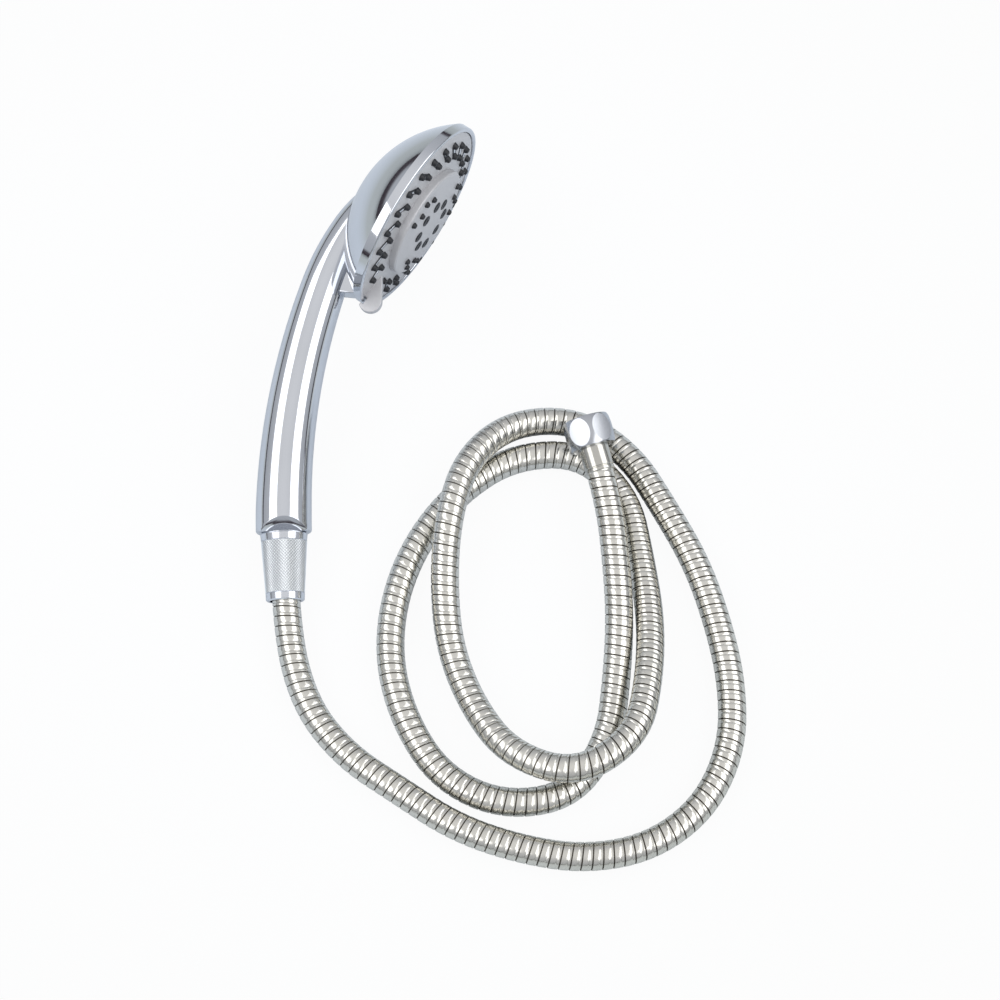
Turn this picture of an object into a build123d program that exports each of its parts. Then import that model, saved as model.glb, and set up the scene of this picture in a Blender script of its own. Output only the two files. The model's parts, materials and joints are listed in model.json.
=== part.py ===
from build123d import *
import os
from math import ceil, cos, degrees, pi, radians, sin, tan

# Handheld shower head with a lever-turned spray face, lying on its side, and its metal hose.
# The handset is modelled about its own spray axis: +Z is the way the water leaves, +Y points
# away from the handle, and X = 0 is its plane of symmetry. It is then laid on the floor.

# Head
HEAD_RADIUS = 52.0
DOME_DEPTH = 28.0
BEZEL_DEPTH = 5.0
BEZEL_WIDTH = 2.5
BEZEL_SHELF = 1.4
BEZEL_ROUND = 1.1
SPIGOT_HEIGHT = 2.0
SPIGOT_WIDTH = 1.55
SPIGOT_INSET = 0.55
SHELL_WALL = 2.4

# Handle, as three arcs that follow one another down from the neck
NECK_Y = -25.5
NECK_Z = -25.8
NECK_RADIUS = 10.9
CROWN_BEND = 60.0
CROWN_TURN = 20.0
NECK_BEND = 120.0
NECK_TURN = 14.0
GRIP_BEND = 350.0
GRIP_TURN = 21.2
GRIP_RADIUS = 14.0
GRIP_STRAIGHT = 12.0
GRIP_STATIONS = (0.0, 0.3, 0.6)
END_PLUG = 14.0
END_ROUND = 1.4
WEB_WIDTH = 12.0
WEB_RISE = 9.8
FACET_DEPTH = 6.6
FACET_TURN = 170.0

# Spray face
FACE_CLEARANCE = 0.3
FACE_EDGE_DROP = 1.0
FACE_CROWN = 1.5
FACE_THICKNESS = 2.0
SKIRT_INSET = 3.0
SKIRT_WALL = 1.8
CENTRE_RADIUS = 29.5
CENTRE_STEP = 3.7
CENTRE_DOME = 2.2
CENTRE_THICKNESS = 2.0
CENTRE_SKIRT = 3.5
CENTRE_SKIRT_WALL = 2.1
DIVIDER_WALL = 1.6
GLUE_GAP = 0.1
LEVER_WIDTH = 4.6
LEVER_BEARING = 270.0
LEVER_TIP_RADIUS = 5.9
LEVER_TIP_HEIGHT = 2.7
LEVER_TIP_INSET = 2.5
LEVER_LEAN = 32.4
LEVER_GAP = 0.6
LEVER_ROUND = 0.8

# Nozzles
PAIR_COUNT = 24
OUTER_NOZZLE_INSET = 6.7
INNER_NOZZLE_INSET = 12.6
NOZZLE_BASE = 1.75
NOZZLE_TIP = 1.35
NOZZLE_HEIGHT = 2.2
JET_RADIUS = 0.5
NOZZLE_FIT = 0.05
MAT_THICKNESS = 1.4
MAT_MARGIN = 0.4
RAIL_WIDTH = 1.3
RAIL_HEIGHT = 0.5
PORT_COUNT = 8
PORT_RING = 12.2
PORT_RADIUS = 3.0
PORT_SINK = 0.6
PORT_START = 7.0
SMALL_GROUPS = 3
SMALL_IN_GROUP = 4
SMALL_START = 158.0
SMALL_STEP = 14.0
SMALL_RING = 22.0
SMALL_STAGGER = 3.2
SMALL_BASE = 1.5
SMALL_TIP = 1.2
SMALL_HEIGHT = 1.6

# Water way inside the head
DIVIDER_DEPTH = 5.0
GASKET = 1.0
CHAMBER_PLATE = 2.0
RUNNING_GAP = 0.5
PORT_PLATE = 3.0
MANIFOLD_INSET = 12.0
MANIFOLD_WALL = 1.5
MANIFOLD_SPACE = 0.9
JOURNAL_RADIUS = 6.0
JOURNAL_FIT = 0.05
HUB_RADIUS = 9.0
HUB_HEIGHT = 2.4
WASHER_HEIGHT = 1.0
WASHER_RADIUS = 8.5
AXIAL_PLAY = 0.1
PIVOT_HEAD = 3.8
PIVOT_HEAD_HEIGHT = 2.2
PIVOT_SHANK = 1.9
PIVOT_DEPTH = 7.5
SCREW_COUNT = 3
SCREW_RING = 32.0
SCREW_START = 90.0
SCREW_SLOT = 0.5
SCREW_HEAD = 2.8
SCREW_HEAD_HEIGHT = 1.5
SCREW_SHANK = 1.5
SCREW_LENGTH = 9.8
SCREW_SINK = 0.2
SCREW_FIT = 0.05
BOSS_RADIUS = 3.5
STOP_RING = 26.0
STOP_BEARING = 90.0
STOP_RADIUS = 1.5
STOP_TRAVEL = 45.0
STOP_DEPTH = 1.2
FEED_RADIUS = 3.0
SEAL_RADIUS = 5.0
SEAL_SINK = 1.2
SEAL_SLIP = 0.05
INNER_FEED_RING = 16.0
INNER_FEED_TURN = 40.0
OUTER_FEED_RING = 33.0
OUTER_FEED_TURN = 150.0
FEED_SHIFT = 40.0
TUBE_RADIUS = 5.0
TUBE_BORE = 4.0
TUBE_FIT = 0.05
SOCKET_RADIUS = 7.2
SOCKET_MOUTH = -33.0
SOCKET_STOP = -26.0
SOCKET_BACK = -16.5
RISER_Y = -20.0
RISER_RADIUS = 5.5
RING_SECTION = 0.55
RING_SEAT = 2.0
TUBE_LOW_BEND = 90.0
TUBE_HIGH_BEND = 60.0

# Inlet, G1/2 thread drawn as plain cylinders
THREAD_RADIUS = 10.33
THREAD_FIT = 0.07
THREAD_LENGTH = 7.5
STEM_RADIUS = 6.8
STEM_LENGTH = 22.0
STEM_SOCKET = 10.0
CUP_RADIUS = 7.0
CUP_DEPTH = 6.5
RESTRICTOR_HEIGHT = 3.5
RESTRICTOR_JET = 2.2
SCREEN_HEIGHT = 0.8
SCREEN_HOLE = 0.7
SCREEN_RINGS = ((0.0, 1), (2.2, 6), (4.4, 12))

# Cone nut
NUT_TOP_GAP = 0.3
CONE_TOP_RADIUS = 11.85
CONE_END_RADIUS = 9.6
CONE_LENGTH = 34.0
CONE_CHAMFER = 0.6
CONE_BORE = 7.8

# Hose and its two ends
HOSE_RADIUS = 7.0
HOSE_BORE = 6.2
RIB_COUNT = 200
RIB_DEPTH = 0.5
RIB_CROWN_SHARE = 0.72
RIB_EDGE_SHARE = 0.06
LINER_RADIUS = 5.6
LINER_BORE = 4.4
BARB_FIT = 0.05
BARB_BORE = 3.0
BARB_LENGTH = 14.0
FLANGE_RADIUS = 9.2
FLANGE_HEIGHT = 2.0
FLANGE_FIT = 0.1
WASHER_BORE = 4.5
SEAL_HEIGHT = 2.0
SLEEVE_RADIUS = 7.5
SLEEVE_FIT = 0.05
SLEEVE_LENGTH = 17.0

# Hex nut, female G1/2, a barrel with six flats
HEX_FLATS = 23.0
HEX_HEIGHT = 15.0
HEX_SHOULDER = 4.0
HEX_BORE = 9.3
HEX_RELIEF = 9.6
HEX_SHOULDER_FIT = 0.25
HEX_BARREL = 12.75
HEX_END_RADIUS = 11.3
HEX_TURN = 30.0

# How the handset lies
FACE_HEADING = -33.5
FACE_ELEVATION = -1.2
HANDLE_ROLL = 11.7

# Hose route: plan offsets from the point where the hose leaves its upper flange, and heights.
# The first bend lies on the cone nut's own axis, and the last two points on the hex nut's axis.
EXIT_RUN = 36.0
BEND_SHARE = 0.45
HOSE_ROUTE = (
    (11.3, -74.0, 7.2), (31.6, -99.9, 7.1), (58.7, -118.0, 7.2), (85.6, -135.8, 7.1),
    (116.3, -146.6, 7.2), (148.4, -151.7, 7.1), (180.8, -145.7, 7.2), (207.2, -125.8, 7.1),
    (221.3, -95.7, 7.2), (222.0, -63.1, 7.1), (215.7, -31.3, 7.2), (205.8, -0.3, 7.1),
    (190.7, 28.2, 7.1), (174.3, 56.4, 7.2), (147.1, 75.9, 7.3), (113.5, 72.2, 13.0),
    (91.0, 49.2, 22.8), (81.7, 17.3, 23.6), (79.7, -14.0, 15.6), (82.5, -45.7, 8.6),
    (94.3, -76.2, 9.4), (112.4, -102.4, 18.0), (144.5, -114.3, 23.2), (174.0, -94.7, 23.2),
    (181.0, -62.5, 17.2), (182.4, -30.7, 11.2), (178.2, 0.8, 7.6), (172.1, 33.6, 7.2),
    (148.9, 57.8, 7.1), (114.0, 55.8, 7.2), (87.2, 37.7, 7.1), (66.9, 11.8, 7.2),
    (54.9, -18.4, 7.1), (52.3, -51.2, 7.2), (60.6, -82.5, 7.1), (78.4, -110.8, 7.2),
    (108.0, -125.5, 7.1), (142.3, -120.6, 7.2), (161.0, -92.9, 7.1), (165.2, -61.4, 8.1),
    (167.0, -32.6, 13.0), (165.6, -6.6, 18.4), (162.1, 26.6, 23.1),
)
SUPPLY_END = (153.3, 56.7, 28.7)

# How far a cut runs past the faces that it opens
REACH = 2.0


def ring(outer, inner, low, high):
    """A plain ring or bush about Z between two heights."""
    body = Pos(0, 0, low) * Cylinder(outer, high - low, align=BASE)
    if inner > 0:
        body -= Pos(0, 0, low) * Cylinder(inner, high - low, align=BASE)
    return body


def turned(points):
    """A body of revolution about Z from (radius, height) points."""
    outline = Polyline(*[(radius, 0, height) for radius, height in points], close=True)
    return revolve(make_face(outline), Axis.Z)


def around(radius, count, start=0.0):
    """Places evenly spaced on a circle about Z."""
    return [polar(radius, start + 360.0 * index / count) for index in range(count)]


def polar(radius, angle):
    return (radius * cos(radians(angle)), radius * sin(radians(angle)))


def merged(bodies):
    """Several separate bodies of one node."""
    return Compound(children=[solid for body in bodies for solid in body.solids()])


BASE = (Align.CENTER, Align.CENTER, Align.MIN)
TOP = (Align.CENTER, Align.CENTER, Align.MAX)

# Dome and handle shell
dome_radius = (HEAD_RADIUS**2 + DOME_DEPTH**2) / (2 * DOME_DEPTH)
dome_low = -BEZEL_DEPTH - DOME_DEPTH
dome_centre = dome_low + dome_radius
crown_length = CROWN_BEND * radians(CROWN_TURN)
neck_length = NECK_BEND * radians(NECK_TURN)
grip_length = GRIP_BEND * radians(GRIP_TURN)
handle_length = neck_length + grip_length


def handle_spine(distance):
    """Place (y, z) and slope of the handle's centreline, measured down from the neck."""
    if distance <= 0:
        bend, turn, y, z, start = CROWN_BEND, 0.0, NECK_Y, NECK_Z, 0.0
    elif distance <= neck_length:
        bend, turn, y, z, start = NECK_BEND, 0.0, NECK_Y, NECK_Z, 0.0
    else:
        turn = radians(NECK_TURN)
        y = NECK_Y - NECK_BEND * sin(turn)
        z = NECK_Z + NECK_BEND * (1 - cos(turn))
        bend, start = GRIP_BEND, neck_length
    slope = turn + (distance - start) / bend
    return y - bend * (sin(slope) - sin(turn)), z + bend * (cos(turn) - cos(slope)), slope


def handle_radius(distance):
    share = min(max(distance, 0.0) / (handle_length - GRIP_STRAIGHT), 1.0)
    return NECK_RADIUS + (GRIP_RADIUS - NECK_RADIUS) * share


def handle_body(inset, end):
    """The handle's round body, inset from its outside, from the dome down to a distance."""
    lower = [neck_length + (end - neck_length) * share for share in GRIP_STATIONS]
    stations = [-crown_length, 0.0] + lower
    if end > handle_length - GRIP_STRAIGHT:
        stations.append(handle_length - GRIP_STRAIGHT)
    stations.append(end)
    sections = []
    for distance in stations:
        y, z, slope = handle_spine(distance)
        plane = Plane((0, y, z), x_dir=(1, 0, 0), z_dir=(0, -cos(slope), sin(slope)))
        sections.append(plane * Circle(handle_radius(distance) - inset))
    return loft(sections)


def dome_body(inset):
    below = Pos(0, 0, -BEZEL_DEPTH) * Cylinder(2 * HEAD_RADIUS, 2 * DOME_DEPTH, align=TOP)
    return (Pos(0, 0, dome_centre) * Sphere(dome_radius - inset)) & below


end_y, end_z, end_slope = handle_spine(handle_length)
inlet = Plane((0, end_y, end_z), x_dir=(1, 0, 0), z_dir=(0, -cos(end_slope), sin(end_slope)))
dome = dome_body(0.0)
web_y, web_z, web_slope = handle_spine(neck_length)
web_outline = Polyline(
    (0, -HEAD_RADIUS + BEZEL_ROUND, -BEZEL_DEPTH),
    (0, web_y, web_z + WEB_RISE),
    (0, web_y, web_z),
    (0, -HEAD_RADIUS + DOME_DEPTH, web_z),
    (0, -HEAD_RADIUS + DOME_DEPTH, -BEZEL_DEPTH - SHELL_WALL),
    close=True,
)
web = extrude(make_face(web_outline), WEB_WIDTH / 2, dir=(1, 0, 0), both=True)
grip = handle_body(0.0, handle_length)
end_edge = grip.edges().sort_by_distance((0, end_y, end_z))[0]
grip = fillet(end_edge, END_ROUND)
outside = dome + grip + web
inside = dome_body(SHELL_WALL) + handle_body(SHELL_WALL, handle_length - END_PLUG)
shell = outside - inside

spigot_radius = HEAD_RADIUS - BEZEL_WIDTH - SPIGOT_INSET
shell -= ring(spigot_radius + JOURNAL_FIT, 0, -BEZEL_DEPTH - SPIGOT_HEIGHT, -BEZEL_DEPTH)
shell -= inlet * ring(STEM_RADIUS + JOURNAL_FIT, 0, -END_PLUG - REACH, REACH)
facet_start = GRIP_RADIUS - FACET_DEPTH
facet_outline = Polyline(
    (facet_start - REACH, 0, REACH),
    (facet_start + 2 * GRIP_RADIUS, 0, REACH),
    (facet_start + 2 * GRIP_RADIUS, 0, -2 * GRIP_RADIUS),
    close=True,
)
facet_cut = extrude(make_face(facet_outline), GRIP_RADIUS, dir=(0, 1, 0), both=True)
for turn in (FACET_TURN, FACET_TURN + 180.0):
    shell -= inlet * (Rot(0, 0, turn) * facet_cut)

# Levels of the water way, from the face back to the dome
gasket_low = -DIVIDER_DEPTH - GASKET
plate_low = gasket_low - CHAMBER_PLATE
port_high = plate_low - RUNNING_GAP
port_low = port_high - PORT_PLATE
manifold_high = port_low
manifold_low = manifold_high - MANIFOLD_SPACE - MANIFOLD_WALL

screw_places = around(SCREW_RING, SCREW_COUNT, SCREW_START)
screw_high = port_high - SCREW_SINK
screw_low = screw_high - SCREW_HEAD_HEIGHT - SCREW_LENGTH
for x, y in screw_places:
    boss = Pos(x, y, dome_low) * Cylinder(BOSS_RADIUS, manifold_low - dome_low, align=BASE)
    shell += boss & dome
    shell -= Pos(x, y, 0) * ring(SCREW_SHANK + SCREW_FIT, 0, screw_low, manifold_low)
handle_shell = shell

# Bezel ring
bezel_radius = HEAD_RADIUS - BEZEL_WIDTH
bezel_ring = turned((
    (spigot_radius - SPIGOT_WIDTH, -BEZEL_DEPTH - SPIGOT_HEIGHT),
    (spigot_radius, -BEZEL_DEPTH - SPIGOT_HEIGHT),
    (spigot_radius, -BEZEL_DEPTH),
    (HEAD_RADIUS, -BEZEL_DEPTH),
    (HEAD_RADIUS, 0),
    (bezel_radius, 0),
    (bezel_radius, -BEZEL_DEPTH + BEZEL_SHELF),
    (spigot_radius - SPIGOT_WIDTH, -BEZEL_DEPTH + BEZEL_SHELF),
))
bezel_ring = fillet(bezel_ring.edges().group_by(Axis.Z)[-1], BEZEL_ROUND)

# Spray face: a shallow cone with a divider wall, a skirt and the lever
face_radius = bezel_radius - FACE_CLEARANCE
divider_radius = CENTRE_RADIUS + GLUE_GAP
face_slope = (FACE_CROWN + FACE_EDGE_DROP) / (face_radius - divider_radius)


def face_height(radius):
    return -FACE_EDGE_DROP + (face_radius - radius) * face_slope


divider_outside = divider_radius + DIVIDER_WALL
skirt_radius = face_radius - SKIRT_INSET
skirt_inside = skirt_radius - SKIRT_WALL
flange_low = -BEZEL_DEPTH + BEZEL_SHELF + FACE_CLEARANCE
face_plate = turned((
    (divider_radius, -DIVIDER_DEPTH),
    (divider_outside, -DIVIDER_DEPTH),
    (divider_outside, face_height(divider_outside) - FACE_THICKNESS),
    (skirt_inside, face_height(skirt_inside) - FACE_THICKNESS),
    (skirt_inside, plate_low),
    (skirt_radius, plate_low),
    (skirt_radius, flange_low),
    (face_radius, flange_low),
    (face_radius, -FACE_EDGE_DROP),
    (divider_radius, FACE_CROWN),
))

# Lever: an upright tongue with a round tip that leans out over the bezel
lean = radians(LEVER_LEAN)
tip_middle = HEAD_RADIUS - LEVER_TIP_INSET
tongue_length = LEVER_TIP_HEIGHT / sin(lean) + LEVER_TIP_RADIUS / tan(lean) + FACE_CROWN
tongue_end = Vector(0, -tip_middle, LEVER_TIP_HEIGHT)
outwards = Vector(0, -cos(lean), sin(lean))
forwards = Vector(0, sin(lean), cos(lean)) * LEVER_TIP_RADIUS
tongue_root = tongue_end - outwards * tongue_length
tongue_sides = Polyline(
    tongue_end + forwards, tongue_root + forwards, tongue_root - forwards, tongue_end - forwards
)
tongue_tip = ThreePointArc(
    tongue_end - forwards, tongue_end + outwards * LEVER_TIP_RADIUS, tongue_end + forwards
)
tongue = make_face(tongue_sides.edges() + tongue_tip.edges())
lever = extrude(tongue, LEVER_WIDTH / 2, dir=(1, 0, 0), both=True)
lever_sides = lever.edges().group_by(Axis.X)
lever = fillet(lever_sides[0] + lever_sides[-1], LEVER_ROUND)
lever_inside = face_radius - FACE_CLEARANCE
lever -= turned((
    (0, dome_low),
    (HEAD_RADIUS + LEVER_GAP, dome_low),
    (HEAD_RADIUS + LEVER_GAP, LEVER_GAP),
    (lever_inside, LEVER_GAP),
    (lever_inside, face_height(lever_inside) - FACE_THICKNESS / 2),
    (0, face_height(0) - FACE_THICKNESS / 2),
))
face_plate += lever

pair_step = 360.0 / PAIR_COUNT
pair_turns = [LEVER_BEARING + pair_step * index for index in range(1, PAIR_COUNT)]
outer_ring = face_radius - OUTER_NOZZLE_INSET
inner_ring = face_radius - INNER_NOZZLE_INSET
nozzle_places = []
rails = []
for turn in pair_turns:
    outer_place = polar(outer_ring, turn)
    inner_place = polar(inner_ring, turn - pair_step / 2)
    nozzle_places.append((outer_place, face_height(outer_ring)))
    nozzle_places.append((inner_place, face_height(inner_ring)))
    outer_point = Vector(*outer_place, face_height(outer_ring))
    inner_point = Vector(*inner_place, face_height(inner_ring))
    along = inner_point - outer_point
    rail_plane = Plane((outer_point + inner_point) * 0.5, x_dir=along, z_dir=(-along.Y, along.X, 0))
    rail = extrude(rail_plane * Rectangle(along.length, 2 * RAIL_HEIGHT), RAIL_WIDTH / 2, both=True)
    rails.append(rail)
face_plate += rails
face_plate -= [
    Pos(x, y, z) * ring(NOZZLE_BASE + NOZZLE_FIT, 0, -FACE_THICKNESS - REACH, FACE_THICKNESS + REACH)
    for (x, y), z in nozzle_places
]

# Rubber nozzle mat behind the cone
mat_inside = divider_outside + MAT_MARGIN
mat_outside = skirt_inside - MAT_MARGIN
nozzle_mat = turned((
    (mat_inside, face_height(mat_inside) - FACE_THICKNESS - MAT_THICKNESS),
    (mat_outside, face_height(mat_outside) - FACE_THICKNESS - MAT_THICKNESS),
    (mat_outside, face_height(mat_outside) - FACE_THICKNESS),
    (mat_inside, face_height(mat_inside) - FACE_THICKNESS),
))
stud_height = NOZZLE_HEIGHT + FACE_THICKNESS + MAT_THICKNESS / 2
nozzle_mat += [
    Pos(x, y, z + NOZZLE_HEIGHT - stud_height) * Cone(NOZZLE_BASE, NOZZLE_TIP, stud_height, align=BASE)
    for (x, y), z in nozzle_places
]
nozzle_mat -= [
    Pos(x, y, z) * ring(JET_RADIUS, 0, -stud_height - REACH, NOZZLE_HEIGHT + REACH)
    for (x, y), z in nozzle_places
]

# Raised centre plate and its own mat
centre_high = FACE_CROWN + CENTRE_STEP
centre_low = centre_high - CENTRE_THICKNESS
centre_inside = CENTRE_RADIUS - CENTRE_SKIRT_WALL
crown_radius = (CENTRE_RADIUS**2 + CENTRE_DOME**2) / (2 * CENTRE_DOME)


def centre_height(radius):
    """Height of the centre plate's domed front at a radius."""
    return centre_high + CENTRE_DOME - crown_radius + (crown_radius**2 - radius**2) ** 0.5


centre_plate = turned((
    (0, centre_low),
    (centre_inside, centre_low),
    (centre_inside, centre_low - CENTRE_SKIRT),
    (CENTRE_RADIUS, centre_low - CENTRE_SKIRT),
    (CENTRE_RADIUS, centre_high - BEZEL_ROUND / 2),
    (CENTRE_RADIUS - BEZEL_ROUND / 2, centre_high + CENTRE_DOME),
    (0, centre_high + CENTRE_DOME),
))
centre_plate &= Pos(0, 0, centre_high + CENTRE_DOME - crown_radius) * Sphere(crown_radius)
port_places = around(PORT_RING, PORT_COUNT, PORT_START)
small_places = []
for group in range(SMALL_GROUPS):
    for index in range(SMALL_IN_GROUP):
        small_radius = SMALL_RING + SMALL_STAGGER * (index % 2)
        small_turn = SMALL_START + 360.0 * group / SMALL_GROUPS + SMALL_STEP * index
        small_places.append((*polar(small_radius, small_turn), centre_height(small_radius) + SMALL_HEIGHT))
hole_low = centre_low - REACH
hole_high = centre_high + CENTRE_DOME + REACH
centre_plate -= [Pos(x, y, 0) * ring(PORT_RADIUS, 0, hole_low, hole_high) for x, y in port_places]
small_hole = ring(SMALL_BASE + NOZZLE_FIT, 0, hole_low, hole_high)
centre_plate -= [Pos(x, y, 0) * small_hole for x, y, tip in small_places]
centre_mat = ring(centre_inside - MAT_MARGIN, 0, centre_low - MAT_THICKNESS, centre_low)
button = ring(PORT_RADIUS - NOZZLE_FIT, 0, centre_low, centre_height(PORT_RING) - PORT_SINK)
centre_mat += [Pos(x, y, 0) * button for x, y in port_places]
centre_mat += [
    Pos(x, y, centre_low) * Cone(SMALL_BASE, SMALL_TIP, tip - centre_low, align=BASE)
    for x, y, tip in small_places
]
jet = ring(JET_RADIUS, 0, hole_low, hole_high + SMALL_HEIGHT)
centre_mat -= [Pos(place[0], place[1], 0) * jet for place in port_places + small_places]

# Chamber plate that closes the face behind and turns on the journal
chamber_gasket = ring(divider_outside, divider_radius, gasket_low, -DIVIDER_DEPTH)
hub_high = gasket_low + HUB_HEIGHT
chamber_plate = ring(skirt_inside - GLUE_GAP, 0, plate_low, gasket_low)
chamber_plate += ring(HUB_RADIUS, 0, plate_low, hub_high)
chamber_plate -= ring(JOURNAL_RADIUS + JOURNAL_FIT, 0, plate_low - REACH, hub_high + REACH)
for radius, turn in ((INNER_FEED_RING, INNER_FEED_TURN), (OUTER_FEED_RING, OUTER_FEED_TURN + FEED_SHIFT)):
    x, y = polar(radius, turn)
    chamber_plate -= Pos(x, y, 0) * ring(FEED_RADIUS, 0, plate_low - REACH, gasket_low + REACH)
slot_gap = STOP_RADIUS + FACE_CLEARANCE
slot_turn = STOP_TRAVEL + degrees(slot_gap / STOP_RING)
slot_ring = ring(STOP_RING + slot_gap, STOP_RING - slot_gap, plate_low - REACH, plate_low + STOP_DEPTH)
slot_sector = make_face(Polyline(
    (0, 0),
    polar(2 * STOP_RING, STOP_BEARING - slot_turn),
    polar(3 * STOP_RING, STOP_BEARING),
    polar(2 * STOP_RING, STOP_BEARING + slot_turn),
    close=True,
))
chamber_plate -= slot_ring & extrude(Pos(0, 0, plate_low - REACH) * slot_sector, REACH + STOP_DEPTH)

# Port plate, its seals and the stop pin
manifold_radius = HEAD_RADIUS - MANIFOLD_INSET
port_plate = ring(manifold_radius, JOURNAL_RADIUS + JOURNAL_FIT, port_low, port_high)
feed_places = [polar(INNER_FEED_RING, INNER_FEED_TURN), polar(OUTER_FEED_RING, OUTER_FEED_TURN)]
seals = []
for x, y in feed_places:
    port_plate -= Pos(x, y, 0) * ring(FEED_RADIUS, 0, port_low - REACH, port_high + REACH)
    port_plate -= Pos(x, y, 0) * ring(SEAL_RADIUS + NOZZLE_FIT, 0, port_high - SEAL_SINK, port_high + REACH)
    seals.append(Pos(x, y, 0) * ring(SEAL_RADIUS, FEED_RADIUS, port_high - SEAL_SINK, plate_low - SEAL_SLIP))
port_seals = merged(seals)
stop_x, stop_y = polar(STOP_RING, STOP_BEARING)
stop_pin = Pos(stop_x, stop_y, 0) * ring(STOP_RADIUS, 0, port_low, plate_low + STOP_DEPTH - AXIAL_PLAY)
port_plate -= Pos(stop_x, stop_y, 0) * ring(STOP_RADIUS + SCREW_FIT, 0, port_low - REACH, port_high + REACH)

# Manifold with the journal, the screw pillars and the elbow that takes the water tube
journal_high = hub_high + AXIAL_PLAY
manifold = ring(manifold_radius, 0, manifold_low, manifold_low + MANIFOLD_WALL)
manifold += ring(manifold_radius, manifold_radius - MANIFOLD_WALL, manifold_low, manifold_high)
manifold += ring(JOURNAL_RADIUS, 0, manifold_low, journal_high)
for x, y in screw_places:
    manifold += Pos(x, y, 0) * ring(BOSS_RADIUS, 0, manifold_low, manifold_high)
    manifold -= Pos(x, y, 0) * ring(SCREW_SHANK + SCREW_FIT, 0, manifold_low - REACH, manifold_high + REACH)
    port_plate -= Pos(x, y, 0) * ring(SCREW_SHANK + SCREW_FIT, 0, port_low - REACH, port_high + REACH)
    head_seat = screw_high - SCREW_HEAD_HEIGHT
    port_plate -= Pos(x, y, 0) * ring(SCREW_HEAD + SCREW_SINK, 0, head_seat, port_high + REACH)
socket = Plane((0, SOCKET_MOUTH, NECK_Z), x_dir=(1, 0, 0), z_dir=(0, 1, 0))
manifold += socket * ring(SOCKET_RADIUS, 0, 0, SOCKET_BACK - SOCKET_MOUTH)
manifold += Pos(0, RISER_Y, 0) * ring(RISER_RADIUS, 0, NECK_Z, manifold_low + MANIFOLD_WALL)
manifold -= socket * ring(TUBE_RADIUS + TUBE_FIT, 0, -REACH, SOCKET_STOP - SOCKET_MOUTH)
manifold -= socket * ring(TUBE_RADIUS + 2 * RING_SECTION, 0, -REACH, RING_SEAT)
manifold -= socket * ring(TUBE_BORE, 0, 0, RISER_Y - SOCKET_MOUTH)
manifold -= Pos(0, RISER_Y, 0) * ring(TUBE_BORE, 0, NECK_Z, manifold_high)
pivot_low = journal_high - PIVOT_DEPTH
manifold -= ring(PIVOT_SHANK + SCREW_FIT, 0, pivot_low, journal_high + REACH)

screw = ring(SCREW_HEAD, 0, screw_high - SCREW_HEAD_HEIGHT, screw_high)
screw += ring(SCREW_SHANK, 0, screw_low, screw_high)
slot_low = screw_high - SCREW_HEAD_HEIGHT / 2
slot = Pos(0, 0, slot_low) * Box(SCREW_HEAD, SCREW_SLOT, SCREW_HEAD_HEIGHT, align=BASE)
screw -= slot
screw -= Rot(0, 0, 90) * slot
manifold_screws = merged([Pos(x, y, 0) * screw for x, y in screw_places])

pivot_washer = ring(WASHER_RADIUS, PIVOT_SHANK + SCREW_FIT, journal_high, journal_high + WASHER_HEIGHT)
pivot_seat = journal_high + WASHER_HEIGHT
pivot_screw = ring(PIVOT_HEAD, 0, pivot_seat, pivot_seat + PIVOT_HEAD_HEIGHT)
pivot_screw += ring(PIVOT_SHANK, 0, pivot_low, pivot_seat + PIVOT_HEAD_HEIGHT / 2)
pivot_screw -= Pos(0, 0, pivot_seat + PIVOT_HEAD_HEIGHT / 2) * Box(
    PIVOT_HEAD, SCREW_SLOT, PIVOT_HEAD_HEIGHT, align=BASE
)

# Inlet connector with the flow restrictor and screen in its cup
cup_low = THREAD_LENGTH - CUP_DEPTH
socket_low = -STEM_LENGTH + STEM_SOCKET
connector = ring(STEM_RADIUS, 0, -STEM_LENGTH, 0) + ring(THREAD_RADIUS, 0, 0, THREAD_LENGTH)
connector -= ring(TUBE_RADIUS + TUBE_FIT, 0, -STEM_LENGTH - REACH, socket_low)
connector -= ring(TUBE_RADIUS + 2 * RING_SECTION, 0, -STEM_LENGTH - REACH, -STEM_LENGTH + RING_SEAT)
connector -= ring(TUBE_BORE, 0, socket_low - REACH, cup_low + REACH)
connector -= ring(CUP_RADIUS, 0, cup_low, THREAD_LENGTH + REACH)
inlet_connector = inlet * connector
insert_radius = CUP_RADIUS - NOZZLE_FIT
restrictor = ring(insert_radius, RESTRICTOR_JET, cup_low, cup_low + RESTRICTOR_HEIGHT)
flow_restrictor = inlet * restrictor
screen_low = cup_low + RESTRICTOR_HEIGHT
screen = ring(insert_radius, 0, screen_low, screen_low + SCREEN_HEIGHT)
for radius, count in SCREEN_RINGS:
    for x, y in around(radius, count):
        screen -= Pos(x, y, screen_low) * ring(SCREEN_HOLE, 0, -REACH, SCREEN_HEIGHT + REACH)
inlet_screen = inlet * screen

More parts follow.
